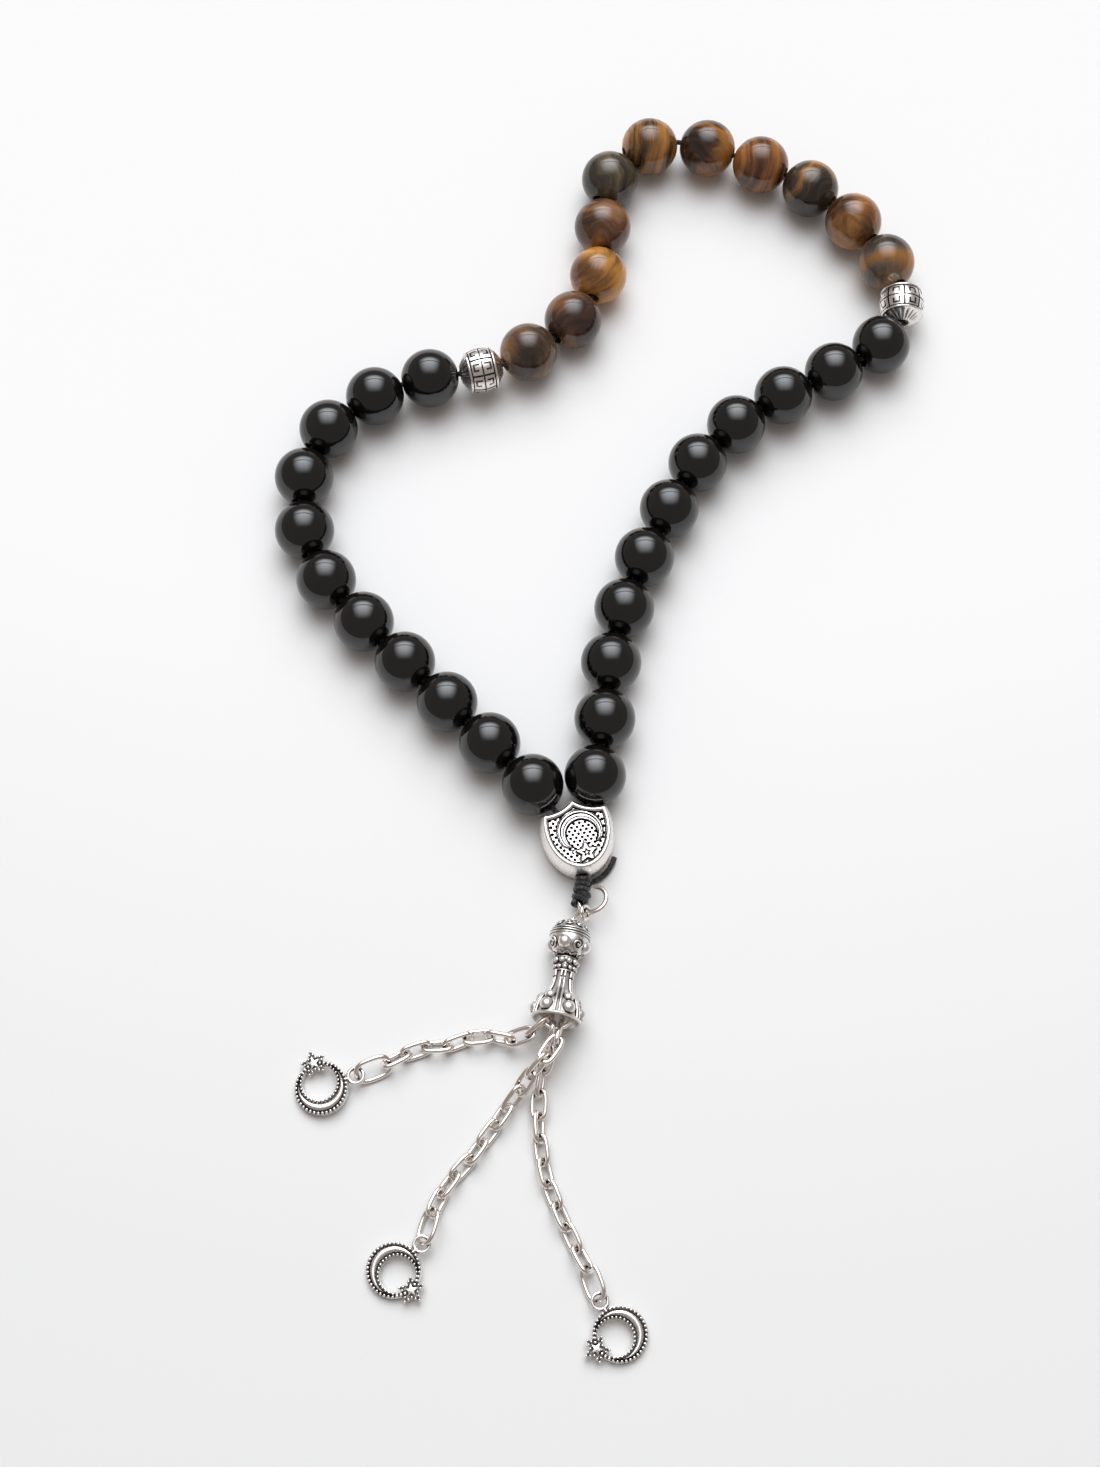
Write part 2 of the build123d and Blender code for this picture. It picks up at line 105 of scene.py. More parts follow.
# %% [markdown]
# ## Turned and bent shapes
# Beads and the cap are round about one line, so half their outline is drawn once and spun. A ring
# of wire is a small circle spun about a middle, which keeps its thickness even all the way.
# %% Spinning a profile, a grain, and a hoop of wire
def turned(bm, profile, steps):
    """Spin a closed profile of (radius, height) once round Z."""
    verts = [bm.verts.new((radius, 0, height)) for radius, height in profile]
    edges = [bm.edges.new(pair) for pair in zip(verts, verts[1:] + verts[:1])]
    bmesh.ops.spin(bm, geom=verts + edges, cent=(0, 0, 0), axis=(0, 0, 1), angle=math.tau, steps=steps,
                   use_merge=True)


def grain(bm, point, radius, fineness=2):
    """A small round grain or boss of metal."""
    bmesh.ops.create_icosphere(bm, subdivisions=fineness, radius=radius, matrix=Matrix.Translation(point))


def hoop(bm, place, radius, wire, turn=360.0, steps=24, sides=10):
    """Round wire bent on a circle about the place's Z, closed unless the turn is less than full."""
    others = set(bm.verts)
    stand = Matrix.Translation((radius, 0, 0)) @ Matrix.Rotation(math.pi / 2, 4, "X")
    verts = bmesh.ops.create_circle(bm, segments=sides, radius=wire / 2, matrix=stand)["verts"]
    edges = list(dict.fromkeys(edge for vert in verts for edge in vert.link_edges))
    full = turn == 360.0
    made = bmesh.ops.spin(bm, geom=verts + edges, cent=(0, 0, 0), axis=(0, 0, 1), angle=math.radians(turn),
                          steps=steps, use_merge=full)
    if not full:
        last = [item for item in made["geom_last"] if isinstance(item, bmesh.types.BMVert)]
        bmesh.ops.contextual_create(bm, geom=verts)
        bmesh.ops.contextual_create(bm, geom=last)
    bmesh.ops.transform(bm, matrix=place, verts=[vert for vert in bm.verts if vert not in others])


# %% [markdown]
# ## Skins and threads
# Relief and bent wire need a regular grid whose points can lie anywhere. An operator makes the
# grid, and its vertices are moved onto rows of points that were worked out. Rings could be bridged
# instead, but between flat rings that don't share a middle a bridge comes out twisted.
# %% A skin over rows of points, and wire as a mesh or as a curve
def skin(bm, rows, closed=False):
    """A grid over rows of points that each close on themselves; closed joins the last to the first."""
    across, down = len(rows[0]), len(rows) - (0 if closed else 1)
    made = bmesh.ops.create_grid(bm, x_segments=across, y_segments=down, size=0.5)
    for vert in made["verts"]:
        column = round((vert.co.x + 0.5) * across) % across
        vert.co = rows[round((vert.co.y + 0.5) * down) % len(rows)][column]


def thread(bm, points, wire, sides=6, closed=False):
    """Round wire laid through points, as part of a mesh; its ends are drawn to a point."""
    rows = []
    count = len(points)
    turns = [math.tau * side / sides for side in range(sides)]
    round_section = [Vector((math.cos(turn), math.sin(turn), 0)) for turn in turns]
    for i, point in enumerate(points):
        ahead = points[(i + 1) % count] if closed else points[min(i + 1, count - 1)]
        behind = points[i - 1] if closed or i else points[0]
        place = along(point, ahead - behind)
        rows.append([place @ (wire / 2 * spot) for spot in round_section])
    if not closed:
        rows = [[points[0]] * sides] + rows + [[points[-1]] * sides]
    skin(bm, rows, closed)


def wire_curve(name, lines, diameter, material, node):
    """Round wire or cord through points in millimetres, one spline for each line."""
    curve = bpy.data.curves.new(name, "CURVE")
    curve.dimensions = "3D"
    curve.bevel_depth = diameter / 2 * MM
    curve.bevel_resolution = 4
    curve.use_fill_caps = True
    curve.materials.append(material)
    for line in lines:
        spline = curve.splines.new("POLY")
        spline.points.add(len(line) - 1)
        for spot, point in zip(spline.points, line):
            spot.co = (*(point * MM), 1)
        spline.use_smooth = True
    obj = bpy.data.objects.new(name, curve)
    bpy.context.scene.collection.objects.link(obj)
    stand_for(obj, node)


# %% [markdown]
# ## Parts of a finish
# All the finishes are node trees written in code. They read object coordinates in millimetres, so
# a pattern has the same scale on every piece and moves with it.
# %% Helpers for node trees
def new_material(name):
    material = bpy.data.materials.new(name)
    material.use_nodes = True
    tree = material.node_tree
    return material, tree, tree.nodes["Principled BSDF"]


def add(tree, kind, **settings):
    node = tree.nodes.new(kind)
    for key, value in settings.items():
        setattr(node, key, value)
    return node


def set_sockets(node, values):
    for socket, value in values.items():
        node.inputs[socket].default_value = value


def local_coordinates(tree, centre=(0, 0, 0), turn=(0, 0, 0)):
    """Object coordinates in millimetres, counted from a piece's middle."""
    where = add(tree, "ShaderNodeTexCoord")
    mapping = add(tree, "ShaderNodeMapping", vector_type="TEXTURE")
    radians = [math.radians(angle) for angle in turn]
    set_sockets(mapping, {"Location": Vector(centre) * MM, "Rotation": radians, "Scale": (MM, MM, MM)})
    tree.links.new(where.outputs["Object"], mapping.inputs["Vector"])
    return mapping.outputs["Vector"]


def math_node(tree, operation, *values, clamp=False):
    node = add(tree, "ShaderNodeMath", operation=operation, use_clamp=clamp)
    for socket, value in zip(node.inputs, values):
        if isinstance(value, (int, float)):
            socket.default_value = value
        else:
            tree.links.new(value, socket)
    return node.outputs[0]


def ramp(tree, value, stops):
    node = add(tree, "ShaderNodeValToRGB")
    elements = node.color_ramp.elements
    while len(elements) < len(stops):
        elements.new(0.5)
    for element, (position, colour) in zip(elements, stops):
        element.position = position
        element.color = (*colour, 1)
    tree.links.new(value, node.inputs["Fac"])
    return node.outputs["Color"]


def noise(tree, where, scale, detail, roughness=0.5):
    """Soft blotches between 0 and 1 over these coordinates."""
    node = add(tree, "ShaderNodeTexNoise")
    set_sockets(node, {"Scale": scale, "Detail": detail, "Roughness": roughness})
    tree.links.new(where, node.inputs["Vector"])
    return node.outputs["Fac"]


def relief(tree, shader, height, deep, strength=1.0):
    """Fine relief in the shading only, this many millimetres deep."""
    node = add(tree, "ShaderNodeBump")
    set_sockets(node, {"Distance": deep * MM, "Strength": strength})
    tree.links.new(height, node.inputs["Height"])
    tree.links.new(node.outputs["Normal"], shader.inputs["Normal"])


# %% [markdown]
# ## Polished black stone
# Nearly black with a trace of brown in its depth, and a wet polish. A very faint cloud in the
# roughness keeps the reflections from looking like glass.
# %% Black stone
onyx, tree, shader = new_material("black stone")
set_sockets(shader, {"Base Color": (0.0035, 0.0028, 0.0023, 1), "IOR": 1.62})
cloud = noise(tree, local_coordinates(tree), 0.35, 3)
tree.links.new(math_node(tree, "MULTIPLY_ADD", cloud, 0.05, 0.03), shader.inputs["Roughness"])
print("finish:", onyx.name)

# %% [markdown]
# ## Brown banded stone
# Tiger eye is made of silky fibres between dark bands. Bands are noise stretched into sheets, the
# fibres are finer noise across them, and the glow is a painted sheen: a soft bright stripe painted
# into the colour where the fibres would face the light.
# A wave pattern would be simpler, but its bands are too even for stone.
# %% Tiger eye
SHEET_DRAWN_OUT = 0.05
FIBRES = (0.6, 5.0, 5.0)


def tiger_eye(name, centre, turn, dark, middle, bright, painted_sheen_at, painted_sheen_width, painted_sheen, width, swirl):
    """One bead's stone: bands as wide as width, bent by swirl, and a stripe of painted sheen beside its middle."""
    material, tree, shader = new_material(name)
    local = local_coordinates(tree, centre, turn)
    axes = add(tree, "ShaderNodeSeparateXYZ")
    tree.links.new(local, axes.inputs[0])
    x, y, z = axes.outputs
    # bands: noise in sheets, bent by a slower noise
    bent = math_node(tree, "MULTIPLY_ADD", noise(tree, local, 0.16, 2), 5.0 * swirl, x)
    sheet = add(tree, "ShaderNodeCombineXYZ")
    squeeze = (1.0 / width, SHEET_DRAWN_OUT, SHEET_DRAWN_OUT)
    for value, share, socket in zip((bent, y, z), squeeze, sheet.inputs):
        tree.links.new(math_node(tree, "MULTIPLY", value, share), socket)
    bands = noise(tree, sheet.outputs[0], 1.0, 5, 0.62)
    # silk: fine fibres across the bands
    fibres = add(tree, "ShaderNodeVectorMath", operation="MULTIPLY")
    fibres.inputs[1].default_value = FIBRES
    tree.links.new(local, fibres.inputs[0])
    silk = noise(tree, fibres.outputs[0], 1.0, 2)
    # painted sheen: a soft bright stripe painted into the colour where the fibres would face the light
    off = math_node(tree, "MULTIPLY", math_node(tree, "SUBTRACT", y, painted_sheen_at), 1.0 / painted_sheen_width)
    fall = math_node(tree, "MULTIPLY", math_node(tree, "POWER", off, 2.0), -1.0)
    painted_sheen_stripe = math_node(tree, "MULTIPLY", math_node(tree, "EXPONENT", fall), painted_sheen)
    value = math_node(tree, "ADD", math_node(tree, "MULTIPLY_ADD", bands, 2.5, -0.86), painted_sheen_stripe)
    value = math_node(tree, "MULTIPLY_ADD", silk, 0.22, math_node(tree, "SUBTRACT", value, 0.11), clamp=True)
    deep = tuple(0.5 * (a + b) for a, b in zip(dark, middle))
    light = tuple(0.5 * (a + b) for a, b in zip(middle, bright))
    colour = ramp(tree, value, [(0.12, dark), (0.36, deep), (0.5, middle), (0.68, light), (0.92, bright)])
    tree.links.new(colour, shader.inputs["Base Color"])
    set_sockets(shader, {"Roughness": 0.06, "IOR": 1.54})
    return material


# %% [markdown]
# ## Eleven different stones
# Each bead was cut at its own angle from its own piece of stone, so each has its own turn, colours,
# painted sheen and bands.
# %% Colours and cuts
black_brown = (0.012, 0.008, 0.006)
bronze = (0.23, 0.105, 0.034)
amber = (0.34, 0.135, 0.026)
gold = (0.60, 0.265, 0.052)
red_brown = (0.15, 0.062, 0.028)
olive = (0.062, 0.047, 0.030)
grey_brown = (0.12, 0.085, 0.060)
# turn, dark, middle, bright, painted sheen at, painted sheen width, painted sheen strength, band width, swirl: one
# row for each brown bead
CUTS = [
    ((0, 20, 48), black_brown, (0.085, 0.050, 0.030), bronze, 2.2, 2.6, 0.42, 5.5, 0.5),
    ((10, 0, 115), (0.030, 0.015, 0.011), (0.070, 0.034, 0.022), (0.20, 0.085, 0.030), 3.0, 1.6, 0.22, 3.0, 0.9),
    ((0, 35, -40), (0.07, 0.028, 0.010), (0.24, 0.105, 0.028), gold, 1.4, 3.0, 0.45, 3.6, 0.6),
    ((30, 10, 80), (0.040, 0.018, 0.010), red_brown, (0.27, 0.13, 0.055), 0.5, 2.6, 0.22, 2.6, 1.4),
    ((0, 0, 20), (0.020, 0.016, 0.012), olive, (0.13, 0.095, 0.055), 1.0, 3.0, 0.10, 2.6, 1.6),
    ((0, 10, 0), black_brown, (0.20, 0.088, 0.026), (0.42, 0.18, 0.040), 0.0, 4.0, 0.18, 1.7, 0.35),
    ((15, 0, 60), (0.018, 0.009, 0.006), (0.070, 0.032, 0.016), amber, -2.4, 1.8, 0.45, 2.6, 1.0),
    ((0, 15, 2), (0.050, 0.021, 0.011), (0.19, 0.070, 0.022), (0.36, 0.14, 0.036), 0.6, 3.0, 0.18, 1.5, 0.3),
    ((20, 0, 140), (0.020, 0.014, 0.009), (0.072, 0.048, 0.027), amber, -1.8, 1.0, 0.42, 3.0, 1.3),
    ((0, 30, 75), (0.035, 0.013, 0.006), (0.18, 0.072, 0.022), (0.44, 0.19, 0.05), -0.6, 2.2, 0.36, 3.2, 0.9),
    ((0, 0, 4), (0.035, 0.024, 0.017), grey_brown, amber, -1.3, 1.5, 0.50, 6.0, 0.4),
]
print("cuts of brown stone:", len(CUTS))

# %% [markdown]
# ## Old silver
# The cast pieces are silver-coloured with the hollows left dark. Occlusion finds the hollows, so
# the same finish works on the wire, on the charms and on the filigree, and nothing is painted.
# %% Silver in four strengths
HOLLOW = (0.022, 0.018, 0.016)
WORN = (0.20, 0.18, 0.165)
BRIGHT = 0.88


def old_silver(name, dark_reach, rough, contrast, warmth=0.05):
    """Silver that is dark in hollows up to dark_reach millimetres across."""
    material, tree, shader = new_material(name)
    hollow = add(tree, "ShaderNodeAmbientOcclusion", samples=8)
    hollow.inputs["Distance"].default_value = dark_reach * MM
    tarnish = noise(tree, local_coordinates(tree), 1.6, 4)
    open_air = math_node(tree, "MULTIPLY_ADD", hollow.outputs["AO"], contrast, 0.98 - contrast)
    open_air = math_node(tree, "SUBTRACT", open_air, 0.12)
    worn = math_node(tree, "MULTIPLY_ADD", tarnish, 0.25, open_air, clamp=True)
    bright = (BRIGHT, BRIGHT * (1 - warmth), BRIGHT * (1 - 1.8 * warmth))
    tone = ramp(tree, worn, [(0.0, HOLLOW), (0.40, WORN), (0.80, bright)])
    tree.links.new(tone, shader.inputs["Base Color"])
    shader.inputs["Metallic"].default_value = 1.0
    tree.links.new(math_node(tree, "MULTIPLY_ADD", tarnish, 0.14, rough - 0.07), shader.inputs["Roughness"])
    relief(tree, shader, tarnish, 0.01, 0.4)
    return material


cast = old_silver("cast silver", 0.55, 0.32, 1.9)
fine_cast = old_silver("fine cast silver", 0.45, 0.28, 2.1)
charm_cast = old_silver("charm silver", 0.5, 0.26, 2.0)
wire_silver = old_silver("wire silver", 0.5, 0.13, 1.3, warmth=0.075)
print("finishes:", [finish.name for finish in (cast, fine_cast, charm_cast, wire_silver)])

# %% [markdown]
# ## Waxed cord
# The cord is a tight black plait with wax in it. Cells of a Voronoi pattern as wide as the plait's
# strands give its small bumps, and a little sheen gives the soft edge of thread.
# %% Black cord
cord_black, tree, shader = new_material("waxed cord")
set_sockets(shader, {"Base Color": (0.012, 0.012, 0.013, 1), "Roughness": 0.42, "Sheen Weight": 0.15})
plait = add(tree, "ShaderNodeTexVoronoi")
plait.inputs["Scale"].default_value = 2.3
tree.links.new(local_coordinates(tree), plait.inputs["Vector"])
relief(tree, shader, plait.outputs["Distance"], 0.2)
print("finish:", cord_black.name)

# %% [markdown]
# ## The beads
# Each bead is a drilled and polished ball. A sphere with a boolean hole would do, but a profile of
# the round outside, the rounded mouths and the bore, spun once, gives clean rings all the way.
# %% Beads
BEAD_R, BORE_R = 5.0, 1.1
MOUTH = 0.28
BEAD_ARC, BEAD_STEPS = 48, 72


def bead_mesh(bm):
    lip = math.asin((BORE_R + MOUTH) / BEAD_R)
    profile = []
    for step in range(BEAD_ARC + 1):
        angle = lip + (math.pi - 2 * lip) * step / BEAD_ARC
        profile.append((BEAD_R * math.sin(angle), BEAD_R * math.cos(angle)))
    end = BEAD_R * math.cos(lip)
    profile += [(BORE_R + 0.1, -end + 0.06), (BORE_R, -end + 0.25)]
    profile += [(BORE_R, end - 0.25), (BORE_R + 0.1, end - 0.06)]
    turned(bm, profile, BEAD_STEPS)


brown = 0
for node, joint in joints.items():
    if "_bead_" not in node:
        continue
    middle = Vector(joint["pos_m"]) / MM
    if node.startswith("onyx"):
        finish, slot = onyx, "onyx"
    else:
        finish, slot = tiger_eye(f"tiger eye {brown + 1}", middle, *CUTS[brown]), "tigereye"
        brown += 1
    bm = bmesh.new()
    bead_mesh(bm)
    settle(bm, node + "_stone", along(middle, Vector(joint["axis"])), finish, node)
print("brown beads:", brown)

# %% [markdown]
# ## The dividers: their relief
# A divider is a round barrel band between two fluted cones. The band carries two bright rims and,
# between them, two columns of panels parted by sunk lines, each with a sunk key in it. Keys could
# be cut from the band one by one; a rule that says how deep the metal lies at each place is shorter.
# %% How deep the band's lines are
PANELS, BAND_HALF, DIVIDER_HALF = 8, 1.95, 3.65
SPOKES = 288


def key_relief(turn, z):
    """How deep the lines of the band are sunk here."""
    u = (turn / math.tau * PANELS) % 1.0
    v = (abs(z) / BAND_HALF) % 1.0
    to_line = min(min(u, 1 - u) * 2.9, min(v, 1 - v) * BAND_HALF)
    hook = (0.26 < u < 0.34 and 0.22 < v < 0.78) or (0.26 < u < 0.70 and 0.68 < v < 0.80) or (
        0.62 < u < 0.70 and 0.36 < v < 0.80)
    if to_line < 0.09:
        return 0.30
    return 0.20 if hook else 0.0


# %% [markdown]
# ## The dividers: their form
# The whole divider is one grid of rows round the bore. Each row has a height and a rule for its
# radius, so the flutes of the cones, the rims and the keys are all made in the same way.
# %% Dividers
FLUTES, FLUTE_ROWS, BAND_ROWS = 20, 12, 66
BRIGHT_RIM = ((-2.42, 3.40), (-2.40, 3.52), (-2.30, 3.60), (-2.18, 3.62), (-2.06, 3.58), (-1.98, 3.46))


def divider_rows():
    """Heights and radii from the bore's mouth, over the fluted cone, to the bright rim."""
    half = [(-DIVIDER_HALF + 0.2, lambda turn: 1.0), (-DIVIDER_HALF, lambda turn: 1.12),
            (-DIVIDER_HALF, lambda turn: 1.4)]
    for step in range(1, FLUTE_ROWS):
        share = step / FLUTE_ROWS
        deep = 0.26 * math.sin(math.pi * share) ** 0.7
        half.append((-DIVIDER_HALF + 0.02 + 1.22 * share,
                     lambda turn, s=share, d=deep: 1.45 + 1.95 * s - d * math.sin(FLUTES / 2 * turn) ** 2))
    for z, radius in BRIGHT_RIM:
        half.append((z, lambda turn, r=radius: r))
    return half


def divider_mesh(bm):
    turns = [math.tau * spoke / SPOKES for spoke in range(SPOKES)]
    ends = divider_rows()
    rows = [[(radius(turn), z, turn) for turn in turns] for z, radius in ends]
    for step in range(BAND_ROWS + 1):
        z = BAND_HALF * (2 * step / BAND_ROWS - 1)
        swell = 3.50 + 0.34 * (1 - (z / BAND_HALF) ** 2)
        rows.append([(swell - key_relief(turn, z), z, turn) for turn in turns])
    rows += [[(radius(turn), -z, turn) for turn in turns] for z, radius in reversed(ends)]
    rows = [[Vector((r * math.cos(turn), r * math.sin(turn), z)) for r, z, turn in row] for row in rows]
    skin(bm, rows, closed=True)


for node in ("divider_1", "divider_2"):
    joint = joints[node]
    bm = bmesh.new()
    divider_mesh(bm)
    middle = Vector(joint["pos_m"]) / MM
    divider = settle(bm, node + "_cast", along(middle, Vector(joint["axis"])), fine_cast, node, sharp=40)
    print(divider.name, len(divider.data.polygons), "faces")

# %% [markdown]
# ## The strand
# One waxed cord runs through all of it, and both its ends go into the imam piece. A second-degree
# curve over the route's own corners leaves each run at its middle, where the route's fillets meet,
# so it bends as a cord does. Straight runs with rounded corners would look like bent wire.
# %% The cord's route
CORD_WIDE = 0.9
ROUTE = [
    (-5.7, -26.5, 2.9), (-8.1, -22.7, 3.9), (-14.6, -15.9, 5.2), (-26.0, -4.2, 5.0), (-39.0, 9.0, 5.0),
    (-49.0, 20.0, 5.0), (-52.0, 32.5, 5.0), (-50.0, 44.5, 5.0), (-41.5, 52.5, 5.0), (-30.5, 57.0, 5.0),
    (-20.5, 57.6, 5.0), (-10.0, 63.0, 5.0), (-2.5, 70.5, 5.0), (0.7, 82.0, 5.0), (-0.6, 92.5, 5.0),
    (2.2, 101.0, 5.0), (10.3, 106.3, 5.0), (22.0, 103.3, 5.0), (33.5, 98.4, 5.0), (43.0, 91.0, 5.0),
    (50.0, 81.0, 5.0), (53.2, 71.0, 5.0), (50.0, 63.4, 5.0), (41.0, 58.4, 5.0), (26.5, 51.0, 5.0),
    (16.8, 42.5, 5.0), (10.3, 30.5, 5.0), (4.4, 17.8, 5.0), (0.6, 4.5, 5.0), (-0.3, -7.5, 5.0),
    (-1.3, -14.2, 5.2), (-3.1, -21.6, 3.9), (-3.9, -26.1, 2.9),
]
curve = bpy.data.curves.new("strand", "CURVE")
curve.dimensions = "3D"
curve.bevel_depth = CORD_WIDE / 2 * MM
curve.bevel_resolution = 4
curve.resolution_u = 16
spline = curve.splines.new("NURBS")
spline.points.add(len(ROUTE) - 1)
for spot, point in zip(spline.points, ROUTE):
    spot.co = (*(Vector(point) * MM), 1)
spline.order_u = 3
spline.use_endpoint_u = True
strand = bpy.data.objects.new("strand", curve)
bpy.context.scene.collection.objects.link(strand)
curve.materials.append(cord_black)
stand_for(strand, "strand_cord")
print("cord:", len(ROUTE), "points")

# %% [markdown]
# ## The imam piece: its outline
# The imam piece is a cast shield that closes the loop. Its outline is a hollow arc on each shoulder
# and one long bend down each side. Only the right half is drawn, and the left is its mirror image.
# %% Outline
SHIELD_AT = Vector((-4.75, -27.1, 0))
SHIELD_HEADING = 100.5
shield_place = Matrix.Translation(SHIELD_AT) @ Matrix.Rotation(math.radians(SHIELD_HEADING - 90), 4, "Z")


def arc_through(a, b, c, count):
    """Points on the circle through three points, from a to c by way of b."""
    ax, ay, bx, by, cx, cy = *a, *b, *c
    d = 2 * (ax * (by - cy) + bx * (cy - ay) + cx * (ay - by))
    ux = ((ax**2 + ay**2) * (by - cy) + (bx**2 + by**2) * (cy - ay) + (cx**2 + cy**2) * (ay - by)) / d
    uy = ((ax**2 + ay**2) * (cx - bx) + (bx**2 + by**2) * (ax - cx) + (cx**2 + cy**2) * (bx - ax)) / d
    start, way, end = (math.atan2(p[1] - uy, p[0] - ux) for p in (a, b, c))
    span = (end - start + math.pi) % math.tau - math.pi
    radius = math.hypot(ax - ux, ay - uy)
    turns = [start + span * i / count for i in range(count + 1)]
    return [(ux + radius * math.cos(turn), uy + radius * math.sin(turn)) for turn in turns]


apex, corner, foot = (0, 5.7), (5.0, 3.95), (0, -5.85)
SHOULDER_HOLLOW = 0.62
lean = math.atan2(apex[1] - corner[1], corner[0])
shoulder = (corner[0] / 2 - SHOULDER_HOLLOW * math.sin(lean),
            (apex[1] + corner[1]) / 2 - SHOULDER_HOLLOW * math.cos(lean))
right = arc_through(apex, shoulder, corner, 14)
side = interpolate_bezier(*[Vector((*spot, 0)) for spot in (corner, (6.3, -0.3), (4.1, -5.7), foot)], 30)
right += [(p.x, p.y) for p in side[1:]]
OUTLINE = right + [(-x, y) for x, y in reversed(right[1:-1])]
print("shield:", round(2 * max(x for x, y in OUTLINE), 1), "mm wide,", round(apex[1] - foot[1], 1), "mm long")

# %% [markdown]
# ## The imam piece: its relief
# The face has a smooth rim, a sunk field with rows of pits, a crescent cut with three lines, a disc
# and a star. Each could be a piece of its own set into the next, but a casting is one skin, so one
# rule gives the height of the metal at every place of the face.
# %% Measures of the face
FIELD_Z, RIM_W = 5.46, 0.80
MOON_AT, MOON_R = (0.30, 0.40), 3.80
DISC_AT, DISC_R = (0.48, -0.20), 2.55
STAR_AT, STAR_R = (0.70, -3.35), 1.90
OPEN_SIDE, OPEN_HALF = -83.0, 29.0


def resample(loop, count):
    """The same closed loop with evenly spaced points."""
    loop = np.array(loop + loop[:1])
    run = np.concatenate([[0], np.cumsum(np.hypot(*np.diff(loop, axis=0).T))])
    where = np.linspace(0, run[-1], count, endpoint=False)
    return np.stack([np.interp(where, run, loop[:, 0]), np.interp(where, run, loop[:, 1])], axis=1)


def step_up(value, low, high):
    """0 below low, 1 above high, smooth between."""
    share = np.clip((value - low) / (high - low), 0, 1)
    return share * share * (3 - 2 * share)


def star_edge(x, y, radius, inner=0.45):
    """Signed distance from a five-pointed star's edge, negative inside."""
    fifth = math.tau / 5
    angle = np.abs((np.arctan2(x, y) + fifth / 2) % fifth - fifth / 2)
    reach = np.hypot(x, y)
    notch = Vector((inner * radius * math.sin(fifth / 2), inner * radius * math.cos(fifth / 2)))
    edge = (notch - Vector((0, radius))).normalized()
    return reach * np.sin(angle) * -edge.y + (reach * np.cos(angle) - radius) * edge.x


# %% Height of the face
def face_height(x, y, edge):
    """Height of the cast face: rim, pitted field, crescent of three lines, disc and star."""
    row = np.round(y / 0.60)
    shift = np.where(row % 2 == 0, 0.0, 0.46)
    pit = np.hypot((x - shift + 0.46) % 0.92 - 0.46, y - row * 0.60)
    height = FIELD_Z - 0.42 * (1 - step_up(pit, 0.12, 0.27))
    # the crescent, narrow at its tips, with an edge that rises from the field
    from_moon = np.hypot(x - MOON_AT[0], y - MOON_AT[1])
    from_disc = np.hypot(x - DISC_AT[0], y - DISC_AT[1])
    turn = np.degrees(np.arctan2(y - MOON_AT[1], x - MOON_AT[0]))
    away = np.abs((turn - OPEN_SIDE + 180) % 360 - 180) - OPEN_HALF
    width = step_up(away, 0, 34)
    share = (from_disc - DISC_R) / np.maximum(from_disc - DISC_R + MOON_R - from_moon, 0.01)
    share = np.where((from_disc > DISC_R) & (from_moon < MOON_R), share, -1)
    on_moon = (share > 0) & (share < width)
    inset = np.minimum(from_disc - DISC_R, (width - share) * 1.3)
    body = FIELD_Z - 0.1 + 0.40 * step_up(inset, 0.02, 0.16)
    # three sunk lines along the crescent, the middle one widest
    for line, depth, thick in ((0.26, 0.34, 0.055), (0.56, 0.42, 0.085), (0.80, 0.24, 0.045)):
        off = np.abs(share / np.maximum(width, 0.2) - line) * 1.6
        body = body - depth * (1 - step_up(off, thick * 0.5, thick * 1.6)) * step_up(away, 8, 50)
    height = np.where(on_moon, body, height)
    # the disc's thin outline
    ring = np.abs(from_disc - DISC_R + 0.05)
    height = height - 0.24 * (1 - step_up(ring, 0.02, 0.12)) * step_up(away, 0, 10)
    # the star on its sunk ground, with a smaller star cut in it
    star = star_edge(x - STAR_AT[0], y - STAR_AT[1], STAR_R)
    height = np.where(star < 0.26, FIELD_Z - 0.3, height)
    raised = FIELD_Z - 0.3 + 0.58 * step_up(-star, -0.02, 0.10)
    small = star_edge(x - STAR_AT[0], y - STAR_AT[1], STAR_R * 0.33)
    raised = raised - 0.26 * (1 - step_up(np.abs(small), 0.03, 0.12))
    height = np.where(star < 0.02, raised, height)
    # the groove inside the rim, and the half-round rim
    groove = FIELD_Z - 0.3
    height = np.where(edge < RIM_W + 0.14, groove, height)
    rim = FIELD_Z - 0.05 + 0.50 * np.sqrt(np.clip(1 - ((edge - 0.38) / 0.43) ** 2, 0, 1))
    return np.where(edge < RIM_W, rim, height)


# %% [markdown]
# ## The imam piece: its skin
# The rows of one grid run from the middle of the flat back to its edge, up the bulging wall, and
# over the rim to the middle of the face. The rows on the face are the outline made ever smaller,
# so they follow the rim, which then comes out even and sharp.
# %% Shield
AROUND, FACE_ROWS = 400, 100
EDGE = resample(OUTLINE, AROUND)
run = np.roll(EDGE, -1, axis=0) - np.roll(EDGE, 1, axis=0)
OUTWARD = np.stack([-run[:, 1], run[:, 0]], axis=1) / np.hypot(run[:, 0], run[:, 1])[:, None]
segments = np.roll(EDGE, -1, axis=0) - EDGE
# how far the wall stands out past the outline, and how high
WALL = [(-0.25, 0.0), (0.0, 0.12), (0.32, 0.9), (0.5, 2.0), (0.55, 3.0), (0.5, 4.0), (0.34, 4.8),
        (0.12, 5.35), (0.0, 5.6)]


def from_outline(spots):
    """How far inside the outline each spot lies."""
    offset = spots[:, None] - EDGE[None]
    slide = np.clip((offset * segments[None]).sum(-1) / (segments**2).sum(-1), 0, 1)
    return np.hypot(*np.moveaxis(offset - slide[..., None] * segments[None], -1, 0)).min(axis=1)


